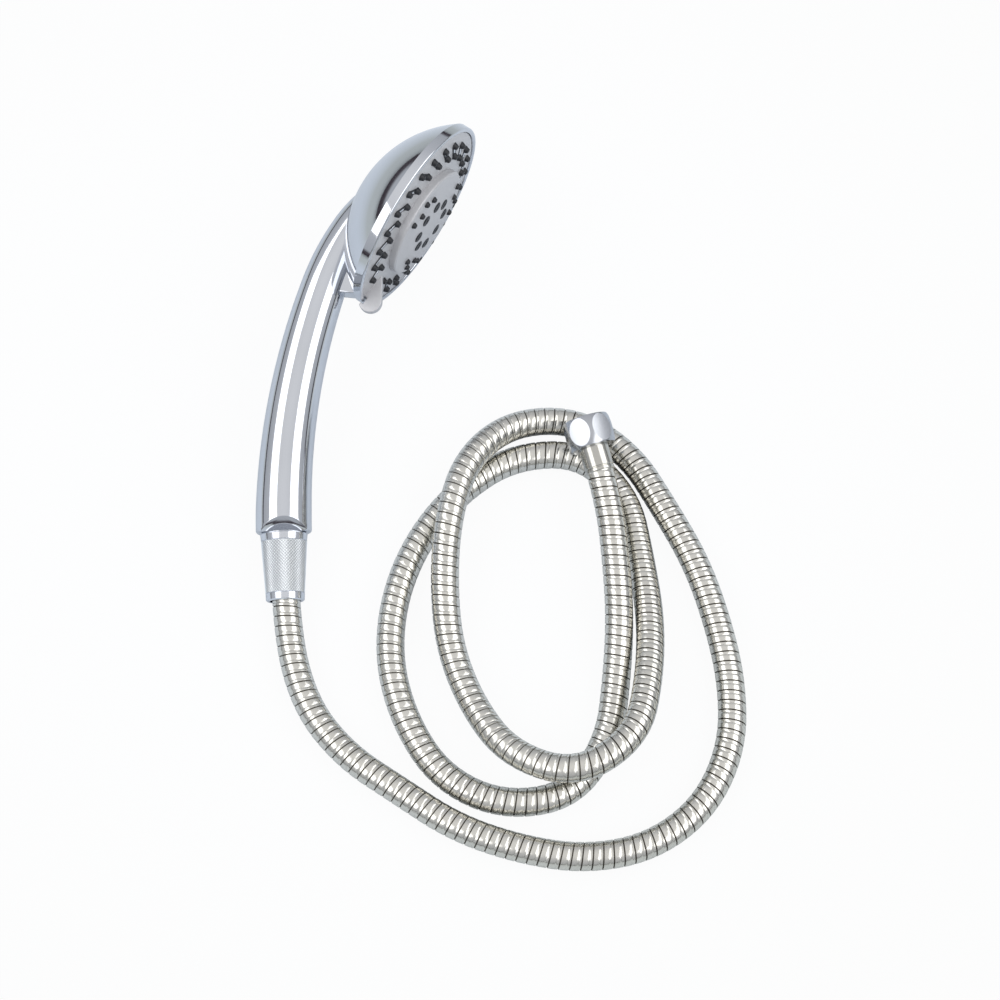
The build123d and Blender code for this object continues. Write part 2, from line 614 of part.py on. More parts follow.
# Water tube from the inlet stem to the manifold's elbow
tube_start = inlet.from_local_coords(Vector(0, 0, socket_low))
tube_knee = inlet.from_local_coords(Vector(0, 0, -2 * STEM_LENGTH))
tube_path = FilletPolyline(
    tube_start, tube_knee, (0, web_y + NECK_RADIUS / 2, NECK_Z), (0, SOCKET_STOP - TUBE_FIT, NECK_Z),
    radius=[TUBE_LOW_BEND, TUBE_HIGH_BEND],
)
tube_plane = Plane(tube_start, x_dir=(1, 0, 0), z_dir=-inlet.z_dir)
water_tube = sweep(tube_plane * (Circle(TUBE_RADIUS) - Circle(TUBE_BORE)), path=tube_path)
ring_middle = RING_SEAT / 2
seal_ring = Torus(TUBE_RADIUS + RING_SECTION, RING_SECTION)
tube_rings = merged([
    inlet * (Pos(0, 0, -STEM_LENGTH + ring_middle) * seal_ring),
    socket * (Pos(0, 0, ring_middle) * seal_ring),
])

# Cone nut
cone_end = NUT_TOP_GAP + CONE_LENGTH
flange_high = THREAD_LENGTH + SEAL_HEIGHT
exit_height = flange_high + FLANGE_HEIGHT
cone = turned((
    (THREAD_RADIUS + THREAD_FIT, NUT_TOP_GAP),
    (CONE_TOP_RADIUS - CONE_CHAMFER, NUT_TOP_GAP),
    (CONE_TOP_RADIUS, NUT_TOP_GAP + CONE_CHAMFER),
    (CONE_END_RADIUS, cone_end - CONE_CHAMFER),
    (CONE_END_RADIUS - CONE_CHAMFER, cone_end),
    (CONE_BORE, cone_end),
    (CONE_BORE, exit_height + FLANGE_FIT),
    (FLANGE_RADIUS + FLANGE_FIT, exit_height + FLANGE_FIT),
    (FLANGE_RADIUS + FLANGE_FIT, flange_high - SEAL_HEIGHT / 2),
    (THREAD_RADIUS + THREAD_FIT, flange_high - SEAL_HEIGHT / 2),
))
cone_nut = inlet * cone


def flange_tail():
    """Flanged tail with its barb: the flange's back lies on Z = 0 and the barb runs along -Z."""
    tail = ring(FLANGE_RADIUS, 0, 0, FLANGE_HEIGHT)
    tail += ring(LINER_BORE - BARB_FIT, 0, -BARB_LENGTH, FLANGE_HEIGHT)
    return tail - ring(BARB_BORE, 0, -BARB_LENGTH - REACH, FLANGE_HEIGHT + REACH)


# Lay the handset down, lowest point on the floor and its box centred over the origin
heading = radians(FACE_HEADING)
elevation = radians(FACE_ELEVATION)
roll = radians(HANDLE_ROLL)
spray = Vector(cos(elevation) * cos(heading), cos(elevation) * sin(heading), sin(elevation))
level = Vector(-sin(heading), cos(heading), 0)
upright = Vector(-sin(elevation) * cos(heading), -sin(elevation) * sin(heading), cos(elevation))
away = level * cos(roll) + upright * sin(roll)
lying = Plane((0, 0, 0), x_dir=away.cross(spray), z_dir=spray)
box = Compound(children=[
    lying * handle_shell, lying * bezel_ring, lying * face_plate, lying * inlet_connector
]).bounding_box()
frame = Plane((-box.center().X, -box.center().Y, -box.min.Z), x_dir=away.cross(spray), z_dir=spray)
exit_plane = frame * Plane(
    inlet.from_local_coords(Vector(0, 0, exit_height)), x_dir=(1, 0, 0), z_dir=-inlet.z_dir
).location
exit_plane = Plane(exit_plane)

# Hose route in the lying frame
exit_point = exit_plane.origin
out = exit_plane.z_dir * -1
hose_points = [exit_point, exit_point + out * EXIT_RUN]
for x, y, z in HOSE_ROUTE + (SUPPLY_END,):
    hose_points.append(Vector(exit_point.X + x, exit_point.Y + y, z))
runs = [(after - before).length for before, after in zip(hose_points, hose_points[1:])]
bends = []
for index in range(1, len(hose_points) - 1):
    arriving = hose_points[index] - hose_points[index - 1]
    leaving = hose_points[index + 1] - hose_points[index]
    half_turn = radians(arriving.get_angle(leaving)) / 2
    bends.append(BEND_SHARE * min(runs[index - 1], runs[index]) / tan(half_turn))
hose_path = FilletPolyline(*hose_points, radius=bends)
hose_wire = Wire(hose_path.edges())
hose_length = hose_wire.length
print("bend radii", [round(bend, 1) for bend in bends])
print("least bend", round(min(bends), 1), "hose length", round(hose_length, 1))


def hose_section(distance, radius):
    """A circle square to the hose, its X axis always level."""
    place = hose_wire.position_at(distance / hose_length)
    along = hose_wire.tangent_at(distance / hose_length)
    plane = Plane(place, x_dir=Vector(-along.Y, along.X, 0), z_dir=along)
    return Wire.make_circle(radius, plane)


# Ribbed metal hose: plain under the two sleeves, ribbed between them, with a smooth bore
rib_pitch = (hose_length - 2 * SLEEVE_LENGTH) / RIB_COUNT
groove_radius = HOSE_RADIUS - RIB_DEPTH
outer_sections = [hose_section(0, HOSE_RADIUS)]
bore_sections = [hose_section(0, HOSE_BORE)]
for index in range(RIB_COUNT):
    start = SLEEVE_LENGTH + rib_pitch * index
    crown = RIB_CROWN_SHARE * rib_pitch
    edge = RIB_EDGE_SHARE * rib_pitch
    outer_sections.append(hose_section(start, HOSE_RADIUS))
    outer_sections.append(hose_section(start + crown, HOSE_RADIUS))
    outer_sections.append(hose_section(start + crown + edge, groove_radius))
    outer_sections.append(hose_section(start + rib_pitch - edge, groove_radius))
    bore_sections.append(hose_section(start, HOSE_BORE))
    bore_sections.append(hose_section(start + rib_pitch / 2, HOSE_BORE))
outer_sections.append(hose_section(hose_length - SLEEVE_LENGTH, HOSE_RADIUS))
outer_sections.append(hose_section(hose_length, HOSE_RADIUS))
bore_sections.append(hose_section(hose_length - SLEEVE_LENGTH, HOSE_BORE))
bore_sections.append(hose_section(hose_length, HOSE_BORE))


def open_skin(sections):
    """The side faces of a ruled loft, without its two end caps."""
    skin = Solid.make_loft(sections, ruled=True)
    return [face for face in skin.faces() if face.geom_type != GeomType.PLANE]


def end_ring(outer, inner):
    return Face(outer, [inner])


hose_faces = open_skin(outer_sections) + open_skin(bore_sections)
hose_faces.append(end_ring(outer_sections[0], bore_sections[0]))
hose_faces.append(end_ring(outer_sections[-1], bore_sections[-1]))
metal_hose = Solid(Shell(hose_faces))
liner_plane = Plane(exit_point, x_dir=exit_plane.x_dir, z_dir=out)
hose_liner = sweep(liner_plane * (Circle(LINER_RADIUS) - Circle(LINER_BORE)), path=hose_path)
plain_volume = pi * (HOSE_RADIUS**2 - HOSE_BORE**2) * hose_length
liner_volume = pi * (LINER_RADIUS**2 - LINER_BORE**2) * hose_length
print("hose volume over plain tube", round(metal_hose.volume / plain_volume, 4))
print("liner volume over section times length", round(hose_liner.volume / liner_volume, 5))

# Least gap between two strands of the hose, on points along its centre
count = ceil(hose_length / HOSE_RADIUS * 2)
centres = [hose_wire.position_at(index / count) for index in range(count + 1)]
spacing = hose_length / count
apart = ceil(5 * HOSE_RADIUS / spacing)
least_gap = min(
    (centres[first] - centres[second]).length
    for first in range(count + 1)
    for second in range(first + apart, count + 1)
) - 2 * HOSE_RADIUS
print("least gap of the hose to itself", round(least_gap, 2))

# Supply end of the hose
supply_point = hose_points[-1]
supply_dir = (hose_points[-1] - hose_points[-2]).normalized()
supply = Plane(supply_point, x_dir=Vector(-supply_dir.Y, supply_dir.X, 0), z_dir=supply_dir)
hex_low = -HEX_SHOULDER
hex_high = hex_low + HEX_HEIGHT
prism = Pos(0, 0, hex_low) * extrude(RegularPolygon(HEX_FLATS / 2, 6, major_radius=False), HEX_HEIGHT)
barrel_edge = ThreePointArc(
    (HEX_END_RADIUS, 0, hex_low), (HEX_BARREL, 0, (hex_low + hex_high) / 2), (HEX_END_RADIUS, 0, hex_high)
)
barrel_ends = Polyline(
    (HEX_END_RADIUS, 0, hex_high), (0, 0, hex_high), (0, 0, hex_low), (HEX_END_RADIUS, 0, hex_low)
)
barrel = revolve(make_face(barrel_edge.edges() + barrel_ends.edges()), Axis.Z)
nut = (Rot(0, 0, HEX_TURN) * prism) & barrel
nut -= ring(SLEEVE_RADIUS + HEX_SHOULDER_FIT, 0, hex_low - REACH, REACH)
nut -= ring(HEX_BORE, 0, 0, hex_high + REACH)
nut -= ring(HEX_RELIEF, 0, 0, FLANGE_HEIGHT + SEAL_HEIGHT)
hex_nut = supply * nut

sleeve = ring(SLEEVE_RADIUS, HOSE_RADIUS + SLEEVE_FIT, -SLEEVE_LENGTH, 0)
washer = ring(FLANGE_RADIUS - FLANGE_FIT, WASHER_BORE, FLANGE_HEIGHT, FLANGE_HEIGHT + SEAL_HEIGHT)

nodes = {
    "handle_shell": frame * handle_shell,
    "bezel_ring": frame * bezel_ring,
    "manifold": frame * manifold,
    "port_plate": frame * port_plate,
    "port_seals": frame * port_seals,
    "stop_pin": frame * stop_pin,
    "manifold_screws": frame * manifold_screws,
    "pivot_washer": frame * pivot_washer,
    "pivot_screw": frame * pivot_screw,
    "water_tube": frame * water_tube,
    "tube_rings": frame * tube_rings,
    "inlet_connector": frame * inlet_connector,
    "flow_restrictor": frame * flow_restrictor,
    "inlet_screen": frame * inlet_screen,
    "face_plate": frame * face_plate,
    "nozzle_mat": frame * nozzle_mat,
    "centre_plate": frame * centre_plate,
    "centre_mat": frame * centre_mat,
    "chamber_plate": frame * chamber_plate,
    "chamber_gasket": frame * chamber_gasket,
    "cone_nut": frame * cone_nut,
    "metal_hose": metal_hose,
    "hose_liner": hose_liner,
    "upper_tail": exit_plane * flange_tail(),
    "lower_tail": supply * flange_tail(),
    "upper_sleeve": exit_plane * sleeve,
    "lower_sleeve": supply * sleeve,
    "hose_washers": merged([exit_plane * washer, supply * washer]),
    "hex_nut": hex_nut,
}
os.makedirs("parts", exist_ok=True)
for name, body in nodes.items():
    export_step(body, f"parts/{name}.step")

print("spray axis", spray, "through", frame.origin)
print("inlet axis", out, "hose starts at", exit_point)
print("supply axis", supply_dir, "hose ends at", supply_point)
print("lowest hose centre", round(min(centre.Z for centre in centres), 2))
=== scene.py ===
import json
import math

import bpy
from mathutils import Matrix, Vector


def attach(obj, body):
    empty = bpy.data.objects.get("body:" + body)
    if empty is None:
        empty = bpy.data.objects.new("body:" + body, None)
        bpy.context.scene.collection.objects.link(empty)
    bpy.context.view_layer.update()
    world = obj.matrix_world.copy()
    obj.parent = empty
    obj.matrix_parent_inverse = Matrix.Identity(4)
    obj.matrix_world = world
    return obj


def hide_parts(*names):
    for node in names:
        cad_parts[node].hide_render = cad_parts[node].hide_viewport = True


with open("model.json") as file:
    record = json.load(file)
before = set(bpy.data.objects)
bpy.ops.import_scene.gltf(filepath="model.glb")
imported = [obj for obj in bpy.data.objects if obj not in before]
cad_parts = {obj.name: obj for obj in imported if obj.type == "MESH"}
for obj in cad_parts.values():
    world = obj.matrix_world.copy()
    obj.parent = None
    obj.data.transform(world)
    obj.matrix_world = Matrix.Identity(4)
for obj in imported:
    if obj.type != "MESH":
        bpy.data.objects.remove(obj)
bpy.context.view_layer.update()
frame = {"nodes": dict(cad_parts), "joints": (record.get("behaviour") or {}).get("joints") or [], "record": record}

bl_info = {
    "name": "Handheld shower head",
    "version": (1, 0, 0),
    "blender": (4, 5, 0),
    "location": "View3D > Sidebar > Shower",
    "description": "Chrome handset with a lever-turned spray face, and its metal hose",
    "category": "Add Mesh",
}

MERGE_DISTANCE = 1e-6
WASTE_LENGTH = 1e-7
HEAD_STEPS = 192

nodes = frame["nodes"]
joints = {joint["name"]: joint for joint in frame["joints"]}


def joint_line(name):
    """A joint's point and direction in the row frame."""
    return Vector(joints[name]["pos_m"]), Vector(joints[name]["axis"]).normalized()


def place_of(origin, x_axis, z_axis):
    """The matrix that stands a piece's own X and Z axes where they belong."""
    turn = Matrix((x_axis, z_axis.cross(x_axis), z_axis)).transposed()
    return Matrix.Translation(origin) @ turn.to_4x4()


face_middle, spray = joint_line("selector_turn")
hose_start, inlet_axis = joint_line("cone_nut_turn")
hose_end, supply_axis = joint_line("hex_nut_spin")
across = spray.cross(inlet_axis).normalized()
HANDSET = place_of(face_middle, across, spray)
SUPPLY = place_of(hose_end, Vector((-supply_axis.y, supply_axis.x, 0)).normalized(), supply_axis)

# Hose route: plan offsets from the hose's start, and heights, as in the part
EXIT_RUN = 0.0360
HOSE_ROUTE = (
    (0.0113, -0.0740, 0.0072), (0.0316, -0.0999, 0.0071), (0.0587, -0.1180, 0.0072),
    (0.0856, -0.1358, 0.0071), (0.1163, -0.1466, 0.0072), (0.1484, -0.1517, 0.0071),
    (0.1808, -0.1457, 0.0072), (0.2072, -0.1258, 0.0071), (0.2213, -0.0957, 0.0072),
    (0.2220, -0.0631, 0.0071), (0.2157, -0.0313, 0.0072), (0.2058, -0.0003, 0.0071),
    (0.1907, 0.0282, 0.0071), (0.1743, 0.0564, 0.0072), (0.1471, 0.0759, 0.0073),
    (0.1135, 0.0722, 0.0130), (0.0910, 0.0492, 0.0228), (0.0817, 0.0173, 0.0236),
    (0.0797, -0.0140, 0.0156), (0.0825, -0.0457, 0.0086), (0.0943, -0.0762, 0.0094),
    (0.1124, -0.1024, 0.0180), (0.1445, -0.1143, 0.0232), (0.1740, -0.0947, 0.0232),
    (0.1810, -0.0625, 0.0172), (0.1824, -0.0307, 0.0112), (0.1782, 0.0008, 0.0076),
    (0.1721, 0.0336, 0.0072), (0.1489, 0.0578, 0.0071), (0.1140, 0.0558, 0.0072),
    (0.0872, 0.0377, 0.0071), (0.0669, 0.0118, 0.0072), (0.0549, -0.0184, 0.0071),
    (0.0523, -0.0512, 0.0072), (0.0606, -0.0825, 0.0071), (0.0784, -0.1108, 0.0072),
    (0.1080, -0.1255, 0.0071), (0.1423, -0.1206, 0.0072), (0.1610, -0.0929, 0.0071),
    (0.1652, -0.0614, 0.0081), (0.1670, -0.0326, 0.0130), (0.1656, -0.0066, 0.0184),
    (0.1621, 0.0266, 0.0231), (0.1533, 0.0567, 0.0287),
)


def amount(name, text, default, **more):
    return bpy.props.FloatProperty(name=name, description=text, default=default, **more)


def length(name, text, default):
    return amount(name, text, default, unit="LENGTH", precision=4)


def turn(name, text, default):
    return amount(name, text, math.radians(default), unit="ROTATION")


def number(name, text, default):
    return bpy.props.IntProperty(name=name, description=text, default=default, min=1)


def colour(name, text, default):
    return bpy.props.FloatVectorProperty(
        name=name, description=text, default=default, subtype="COLOR", min=0, max=1)


class ShellSizes(bpy.types.PropertyGroup):
    head_radius: length("Head radius", "Outside radius of the head at its bezel", 0.052)
    dome_depth: length("Dome depth", "Depth of the dome behind the bezel", 0.028)
    bezel_depth: length("Bezel depth", "Height of the bezel ring", 0.005)
    bezel_width: length("Bezel width", "Width of the bezel's front", 0.0025)
    bezel_round: length("Bezel rounding", "Rounding of the bezel's front edges", 0.0011)
    neck_drop: length("Neck drop", "Depth of the handle's line below the face, at the neck", 0.0258)
    neck_offset: length("Neck offset", "Distance of the neck from the spray axis", 0.0255)
    neck_radius: length("Neck radius", "Radius of the handle at the neck", 0.0109)
    grip_radius: length("Grip radius", "Radius of the handle at its end", 0.014)
    crown_bend: length("Crown bend", "Bend radius where the handle enters the dome", 0.060)
    crown_turn: turn("Crown turn", "Angle of the bend inside the dome", 20.0)
    neck_bend: length("Neck bend", "Bend radius of the neck", 0.120)
    neck_turn: turn("Neck turn", "Angle of the neck's bend", 14.0)
    grip_bend: length("Grip bend", "Bend radius of the grip", 0.350)
    grip_turn: turn("Grip turn", "Angle of the grip's bend", 21.2)
    grip_straight: length("Grip end", "Length of even radius at the handle's end", 0.012)
    end_round: length("End rounding", "Rounding of the handle's end", 0.0014)
    facet_depth: length("Facet depth", "How far the two flat facets cut into the handle's end", 0.0066)
    facet_turn: turn("Facet turn", "Direction of the first facet", 170.0)
    web_width: length("Web width", "Width of the web between neck and bezel", 0.012)


class FaceSizes(bpy.types.PropertyGroup):
    clearance: length("Clearance", "Gap between the turning face and the bezel", 0.0003)
    edge_drop: length("Edge drop", "How far the face's edge lies below the bezel's front", 0.001)
    crown: length("Crown", "Height of the cone at its inner edge", 0.0015)
    thickness: length("Thickness", "Wall of the face", 0.002)
    centre_radius: length("Centre radius", "Radius of the raised centre plate", 0.0295)
    centre_step: length("Centre step", "Height of the centre plate's edge above the cone", 0.0037)
    centre_dome: length("Centre dome", "Height of the centre plate's crown above its edge", 0.0022)
    lever_width: length("Lever width", "Thickness of the lever's tongue", 0.0046)
    lever_tip_radius: length("Lever tip", "Radius of the tongue's round tip", 0.0059)
    lever_tip_height: length("Lever tip height", "Height of the round tip's middle", 0.0027)
    lever_tip_inset: length("Lever tip inset", "Depth of the tip's middle inside the rim", 0.0025)
    lever_lean: turn("Lever lean", "Slope of the tongue", 32.4)
    pair_count: number("Nozzle places", "Evenly spaced places for the nozzle pairs and the lever", 24)
    outer_ring: length("Outer ring", "Radius of the outer nozzles' ring", 0.0425)
    inner_ring: length("Inner ring", "Radius of the inner nozzles' ring", 0.0366)
    nozzle_base: length("Nozzle base", "Radius of a nozzle at its foot", 0.00175)
    nozzle_tip: length("Nozzle tip", "Radius of a nozzle at its tip", 0.00135)
    nozzle_height: length("Nozzle height", "Height of a nozzle above the face", 0.0022)
    jet_radius: length("Jet", "Radius of a nozzle's hole", 0.0005)
    port_count: number("Ports", "Number of large ports in the centre plate", 8)
    port_ring: length("Port ring", "Radius of the large ports' ring", 0.0122)
    port_radius: length("Port radius", "Radius of a large port", 0.003)
    port_start: turn("Port start", "Angle of the first large port", 7.0)
    small_groups: number("Small groups", "Groups of small nozzles in the centre plate", 3)
    small_in_group: number("Small nozzles", "Small nozzles in one group", 4)
    small_start: turn("Small start", "Angle of the first small nozzle", 158.0)
    small_step: turn("Small step", "Angle between two small nozzles of a group", 14.0)
    small_ring: length("Small ring", "Radius of the inner small nozzles", 0.022)
    small_stagger: length("Small stagger", "How much further out every second small nozzle is", 0.0032)
    small_base: length("Small base", "Radius of a small nozzle at its foot", 0.0015)
    small_tip: length("Small tip", "Radius of a small nozzle at its tip", 0.0012)
    small_height: length("Small height", "Height of a small nozzle above the centre plate", 0.0016)


class HoseSizes(bpy.types.PropertyGroup):
    radius: length("Hose radius", "Outside radius of the metal hose", 0.007)
    groove: length("Groove depth", "Depth of the main groove", 0.0005)
    pitch: length("Pitch", "Rise of the wound strip in one turn", 0.005)
    sleeve_radius: length("Sleeve radius", "Outside radius of a crimp sleeve", 0.0075)
    sleeve_length: length("Sleeve length", "Length of a crimp sleeve", 0.017)
    cone_top: length("Cone top radius", "Radius of the cone nut at the handle", 0.01185)
    cone_end: length("Cone end radius", "Radius of the cone nut at the hose", 0.0096)
    cone_length: length("Cone length", "Length of the cone nut", 0.034)
    cone_bore: length("Cone bore", "Bore of the cone nut at the hose", 0.0078)
    top_band: length("Top band", "Length of the smooth band at the handle", 0.0042)
    end_band: length("End band", "Length of the smooth band at the hose", 0.0048)
    knurl_count: number("Knurls", "Diamonds around the cone nut", 44)
    knurl_rise: length("Knurl rise", "Rise of one row of diamonds", 0.0016)
    knurl_depth: length("Knurl depth", "Depth of the knurl's grooves", 0.00032)


class Finishes(bpy.types.PropertyGroup):
    chrome: colour("Chrome", "Plated handset", (0.65, 0.67, 0.71))
    satin: colour("Satin", "Spray face", (0.55, 0.55, 0.565))
    rubber: colour("Rubber", "Nozzles", (0.007, 0.008, 0.011))
    hose: colour("Hose", "Wound metal strip", (0.69, 0.675, 0.625))
    # Painted shade: the dark colour given to the inside of the hose's grooves
    groove: colour("Groove", "Inside of the hose's grooves", (0.10, 0.09, 0.075))


class StageSizes(bpy.types.PropertyGroup):
    target: bpy.props.FloatVectorProperty(
        name="Target", description="Point the camera looks at",
        default=(0.0674, -0.0733, 0.0002), subtype="XYZ")
    elevation: turn("Elevation", "Camera's height above the horizon", 70.0)
    distance: length("Distance", "Camera's distance from the target", 1.3)
    lens: amount("Lens", "Focal length in millimetres", 91.94)
    left_power: amount("Left box", "Power of the left soft box", 7.0)
    right_power: amount("Right box", "Power of the right soft box", 8.0)
    floor_glow: amount(
        "Floor glow", "Share of the floor's seen white that shadows don't darken", 0.94,
        subtype="FACTOR", min=0, max=1)


class Sock:
    """A shader value: sums on it add Math nodes."""

    def __init__(self, finish, socket):
        self.finish = finish
        self.socket = socket

    def sum(self, operation, first, second):
        return self.finish.node("Math", {"operation": operation}, {0: first, 1: second})

    def __add__(self, other):
        return self.sum("ADD", self, other)

    def __mul__(self, other):
        return self.sum("MULTIPLY", self, other)


class Finish:
    """A procedural material or world."""

    def __init__(self, owner, ending):
        owner.use_nodes = True
        self.owner = owner
        self.tree = owner.node_tree
        self.tree.nodes.clear()
        self.ending = self.tree.nodes.new("ShaderNode" + ending)

    def node(self, kind, settings, inputs, output=0):
        """Adds a node, sets it, fills its sockets and gives one of its outputs."""
        made = self.tree.nodes.new("ShaderNode" + kind)
        for key, value in settings.items():
            if key == "stops":
                ramp = made.color_ramp
                while len(ramp.elements) < len(value):
                    ramp.elements.new(0.5)
                for element, (position, shade) in zip(ramp.elements, value):
                    element.position = position
                    element.color = (*shade, 1.0)
            else:
                setattr(made, key, value)
        for key, value in inputs.items():
            self.fill(made.inputs[key], value)
        return Sock(self, made.outputs[output])

    def fill(self, socket, value):
        if isinstance(value, Sock):
            self.tree.links.new(value.socket, socket)
        elif isinstance(value, tuple) and len(value) == 3 and socket.type == "RGBA":
            socket.default_value = (*value, 1.0)
        else:
            socket.default_value = value

    def end(self, shader):
        self.tree.links.new(shader.socket, self.ending.inputs["Surface"])
        return self.owner

    def coat(self, inputs):
        """Ends the material in one principled surface."""
        return self.end(self.node("BsdfPrincipled", {}, inputs))

    def place(self):
        return self.node("TexCoord", {}, {}, "Object")

    def noise(self, scale, detail=2.0):
        inputs = {"Vector": self.place(), "Scale": scale, "Detail": detail}
        return self.node("TexNoise", {}, inputs)

    def attribute(self, name):
        return self.node("Attribute", {"attribute_name": name}, {}, "Fac")

    def share(self, value, low, high):
        """How far a value lies between two others, from 0 to 1."""
        return self.node("MapRange", {}, {"Value": value, 1: low, 2: high, 3: 0.0, 4: 1.0})

    def blend(self, factor, first, second):
        return self.node("Mix", {"data_type": "RGBA"}, {"Factor": factor, 6: first, 7: second}, 2)

    def bump(self, height, strength, distance):
        inputs = {"Height": height, "Strength": strength, "Distance": distance}
        return self.node("Bump", {}, inputs)


def material(name):
    return Finish(bpy.data.materials.new(name), "OutputMaterial")


def tinted(shade, factor):
    return tuple(min(1.0, part * factor) for part in shade)


def chrome_finish(name, shade, rough):
    """Bright plating with faint water marks and a slight waviness, with painted shade darkening the knurl's
    grooves and a painted highlight lightening the knurled band.
    """
    finish = material(name)
    marks = finish.noise(90.0, detail=3.0)
    haze = finish.noise(26.0)
    smears = finish.share(haze, 0.35, 0.75)
    groove = finish.attribute("groove")
    rolled = finish.attribute("rolled")
    smooth = finish.blend(smears, shade, tinted(shade, 0.95))
    # Painted highlight: the knurled band, marked by the rolled attribute, is lightened to a brighter copy of the
    # chrome
    knurl_highlight = finish.blend(rolled, smooth, tinted(shade, 1.42))
    return finish.coat({
        # Painted shade: the deep points of the knurl's grooves, by the groove attribute, are darkened towards a
        # dark copy of the chrome
        "Base Color": finish.blend(groove * groove * groove * 0.65, knurl_highlight, tinted(shade, 0.12)),
        "Metallic": 1.0,
        "Roughness": smears * 0.03 + marks * 0.02 + rolled * 0.2 + rough,
        "Normal": finish.bump(haze, strength=0.04, distance=0.001),
    })


def satin_finish(name, shade):
    """Metal paint with fine flakes and a matt lacquer."""
    finish = material(name)
    flakes = finish.noise(5200.0, detail=1.0)
    cloud = finish.noise(60.0)
    return finish.coat({
        "Base Color": finish.blend(
            flakes * 0.7 + cloud * 0.3, tinted(shade, 0.88), tinted(shade, 1.1)),
        "Metallic": 0.35,
        "Roughness": flakes * 0.1 + cloud * 0.08 + 0.34,
        "Normal": finish.bump(flakes, strength=0.08, distance=0.0001),
    })


def rubber_finish(name, shade):
    """Moulded rubber with a dusty bloom."""
    finish = material(name)
    bloom = finish.noise(420.0, detail=4.0)
    return finish.coat({
        "Base Color": finish.blend(bloom, shade, tinted(shade, 2.2)),
        "Roughness": bloom * 0.2 + 0.38,
        "Normal": finish.bump(finish.noise(1800.0), strength=0.15, distance=0.0002),
    })


def moulded_finish(name, shade):
    """Plain moulded plastic with a faint texture."""
    finish = material(name)
    cloud = finish.noise(140.0, detail=3.0)
    return finish.coat({
        "Base Color": finish.blend(cloud, tinted(shade, 0.92), tinted(shade, 1.06)),
        "Roughness": cloud * 0.15 + 0.4,
        "Normal": finish.bump(finish.noise(2600.0), strength=0.1, distance=0.0001),
    })


def metal_finish(name, shade, rough):
    """Turned bare metal with fine tool marks."""
    finish = material(name)
    marks = finish.noise(700.0, detail=4.0)
    return finish.coat({
        "Base Color": finish.blend(marks, tinted(shade, 0.85), shade),
        "Metallic": 1.0,
        "Roughness": marks * 0.12 + rough,
        "Normal": finish.bump(marks, strength=0.06, distance=0.0002),
    })


def hose_finish(name, shade, groove_shade):
    """Wound strip: cloudy crowns, painted shade darkening the grooves, and faint drawing lines."""
    finish = material(name)
    groove = finish.attribute("groove")
    cloud = finish.noise(55.0, detail=3.0)
    lines = finish.noise(900.0, detail=3.0)
    crown = finish.blend(cloud, tinted(shade, 0.9), tinted(shade, 1.08))
    return finish.coat({
        # Painted shade: the groove attribute darkens the strip towards the groove colour in its grooves and at its
        # closed ends
        "Base Color": finish.blend(groove, crown, groove_shade),
        "Metallic": 1.0,
        "Roughness": groove * 0.25 + lines * 0.06 + 0.19,
        "Normal": finish.bump(lines, strength=0.05, distance=0.0002),
    })


def deselect():
    if bpy.context.mode != "OBJECT":
        bpy.ops.object.mode_set(mode="OBJECT")
    bpy.ops.object.select_all(action="DESELECT")


def choose(*objects):
    deselect()
    for thing in objects:
        thing.select_set(True)
    bpy.context.view_layer.objects.active = objects[0]


def open_mesh(piece):
    """Opens a piece's mesh for editing, with all of it selected."""
    choose(piece)
    bpy.ops.object.mode_set(mode="EDIT")
    bpy.ops.mesh.select_all(action="SELECT")


def join(*pieces):
    """Joins the pieces into the first of them."""
    choose(*pieces)
    bpy.ops.object.join()
    return pieces[0]


def outline(name, points, closed=False):
    """An outline drawn from one vertex, extruded from point to point; left open in edit mode."""
    deselect()
    bpy.ops.mesh.primitive_plane_add(size=0.001)
    piece = bpy.context.object
    piece.name = name
    piece.data.name = name
    open_mesh(piece)
    bpy.ops.mesh.merge(type="CENTER")
    bpy.ops.transform.translate(value=points[0])
    for before, after in zip(points, points[1:]):
        step = Vector(after) - Vector(before)
        bpy.ops.mesh.extrude_vertices_move(TRANSFORM_OT_translate={"value": step})
    bpy.ops.mesh.select_all(action="SELECT")
    if closed:
        bpy.ops.mesh.edge_face_add()
    return piece


def tidy_mesh(piece):
    """Merges doubled points, turns the faces outwards and leaves edit mode."""
    if bpy.context.mode == "OBJECT":
        open_mesh(piece)
    bpy.ops.mesh.select_all(action="SELECT")
    bpy.ops.mesh.remove_doubles(threshold=MERGE_DISTANCE)
    bpy.ops.mesh.dissolve_degenerate(threshold=WASTE_LENGTH)
    bpy.ops.mesh.normals_make_consistent(inside=False)
    bpy.ops.object.mode_set(mode="OBJECT")


def soften(piece, width, segments=3, limit=28.0):
    """Rounds the piece's crisp edges."""
    choose(piece)
    rounding = piece.modifiers.new("rounding", "BEVEL")
    rounding.width = width
    rounding.segments = segments
    rounding.limit_method = "ANGLE"
    rounding.angle_limit = math.radians(limit)
    rounding.use_clamp_overlap = True
    bpy.ops.object.modifier_apply(modifier=rounding.name)


def turned(name, points, steps=144, rounding=0.0):
    """A piece turned about its own Z axis from an outline of (radius, height) points."""
    piece = outline(name, [(radius, 0.0, height) for radius, height in points])
    bpy.ops.mesh.spin(steps=steps, angle=math.tau, center=(0, 0, 0), axis=(0, 0, 1))
    tidy_mesh(piece)
    if rounding:
        soften(piece, rounding)
    return piece


def slab(name, points, width):
    """A flat outline of (y, z) points, drawn out across X to a width."""
    piece = outline(name, [(-width / 2, y, z) for y, z in points], closed=True)
    bpy.ops.mesh.extrude_region_move(TRANSFORM_OT_translate={"value": (width, 0, 0)})
    tidy_mesh(piece)
    return piece


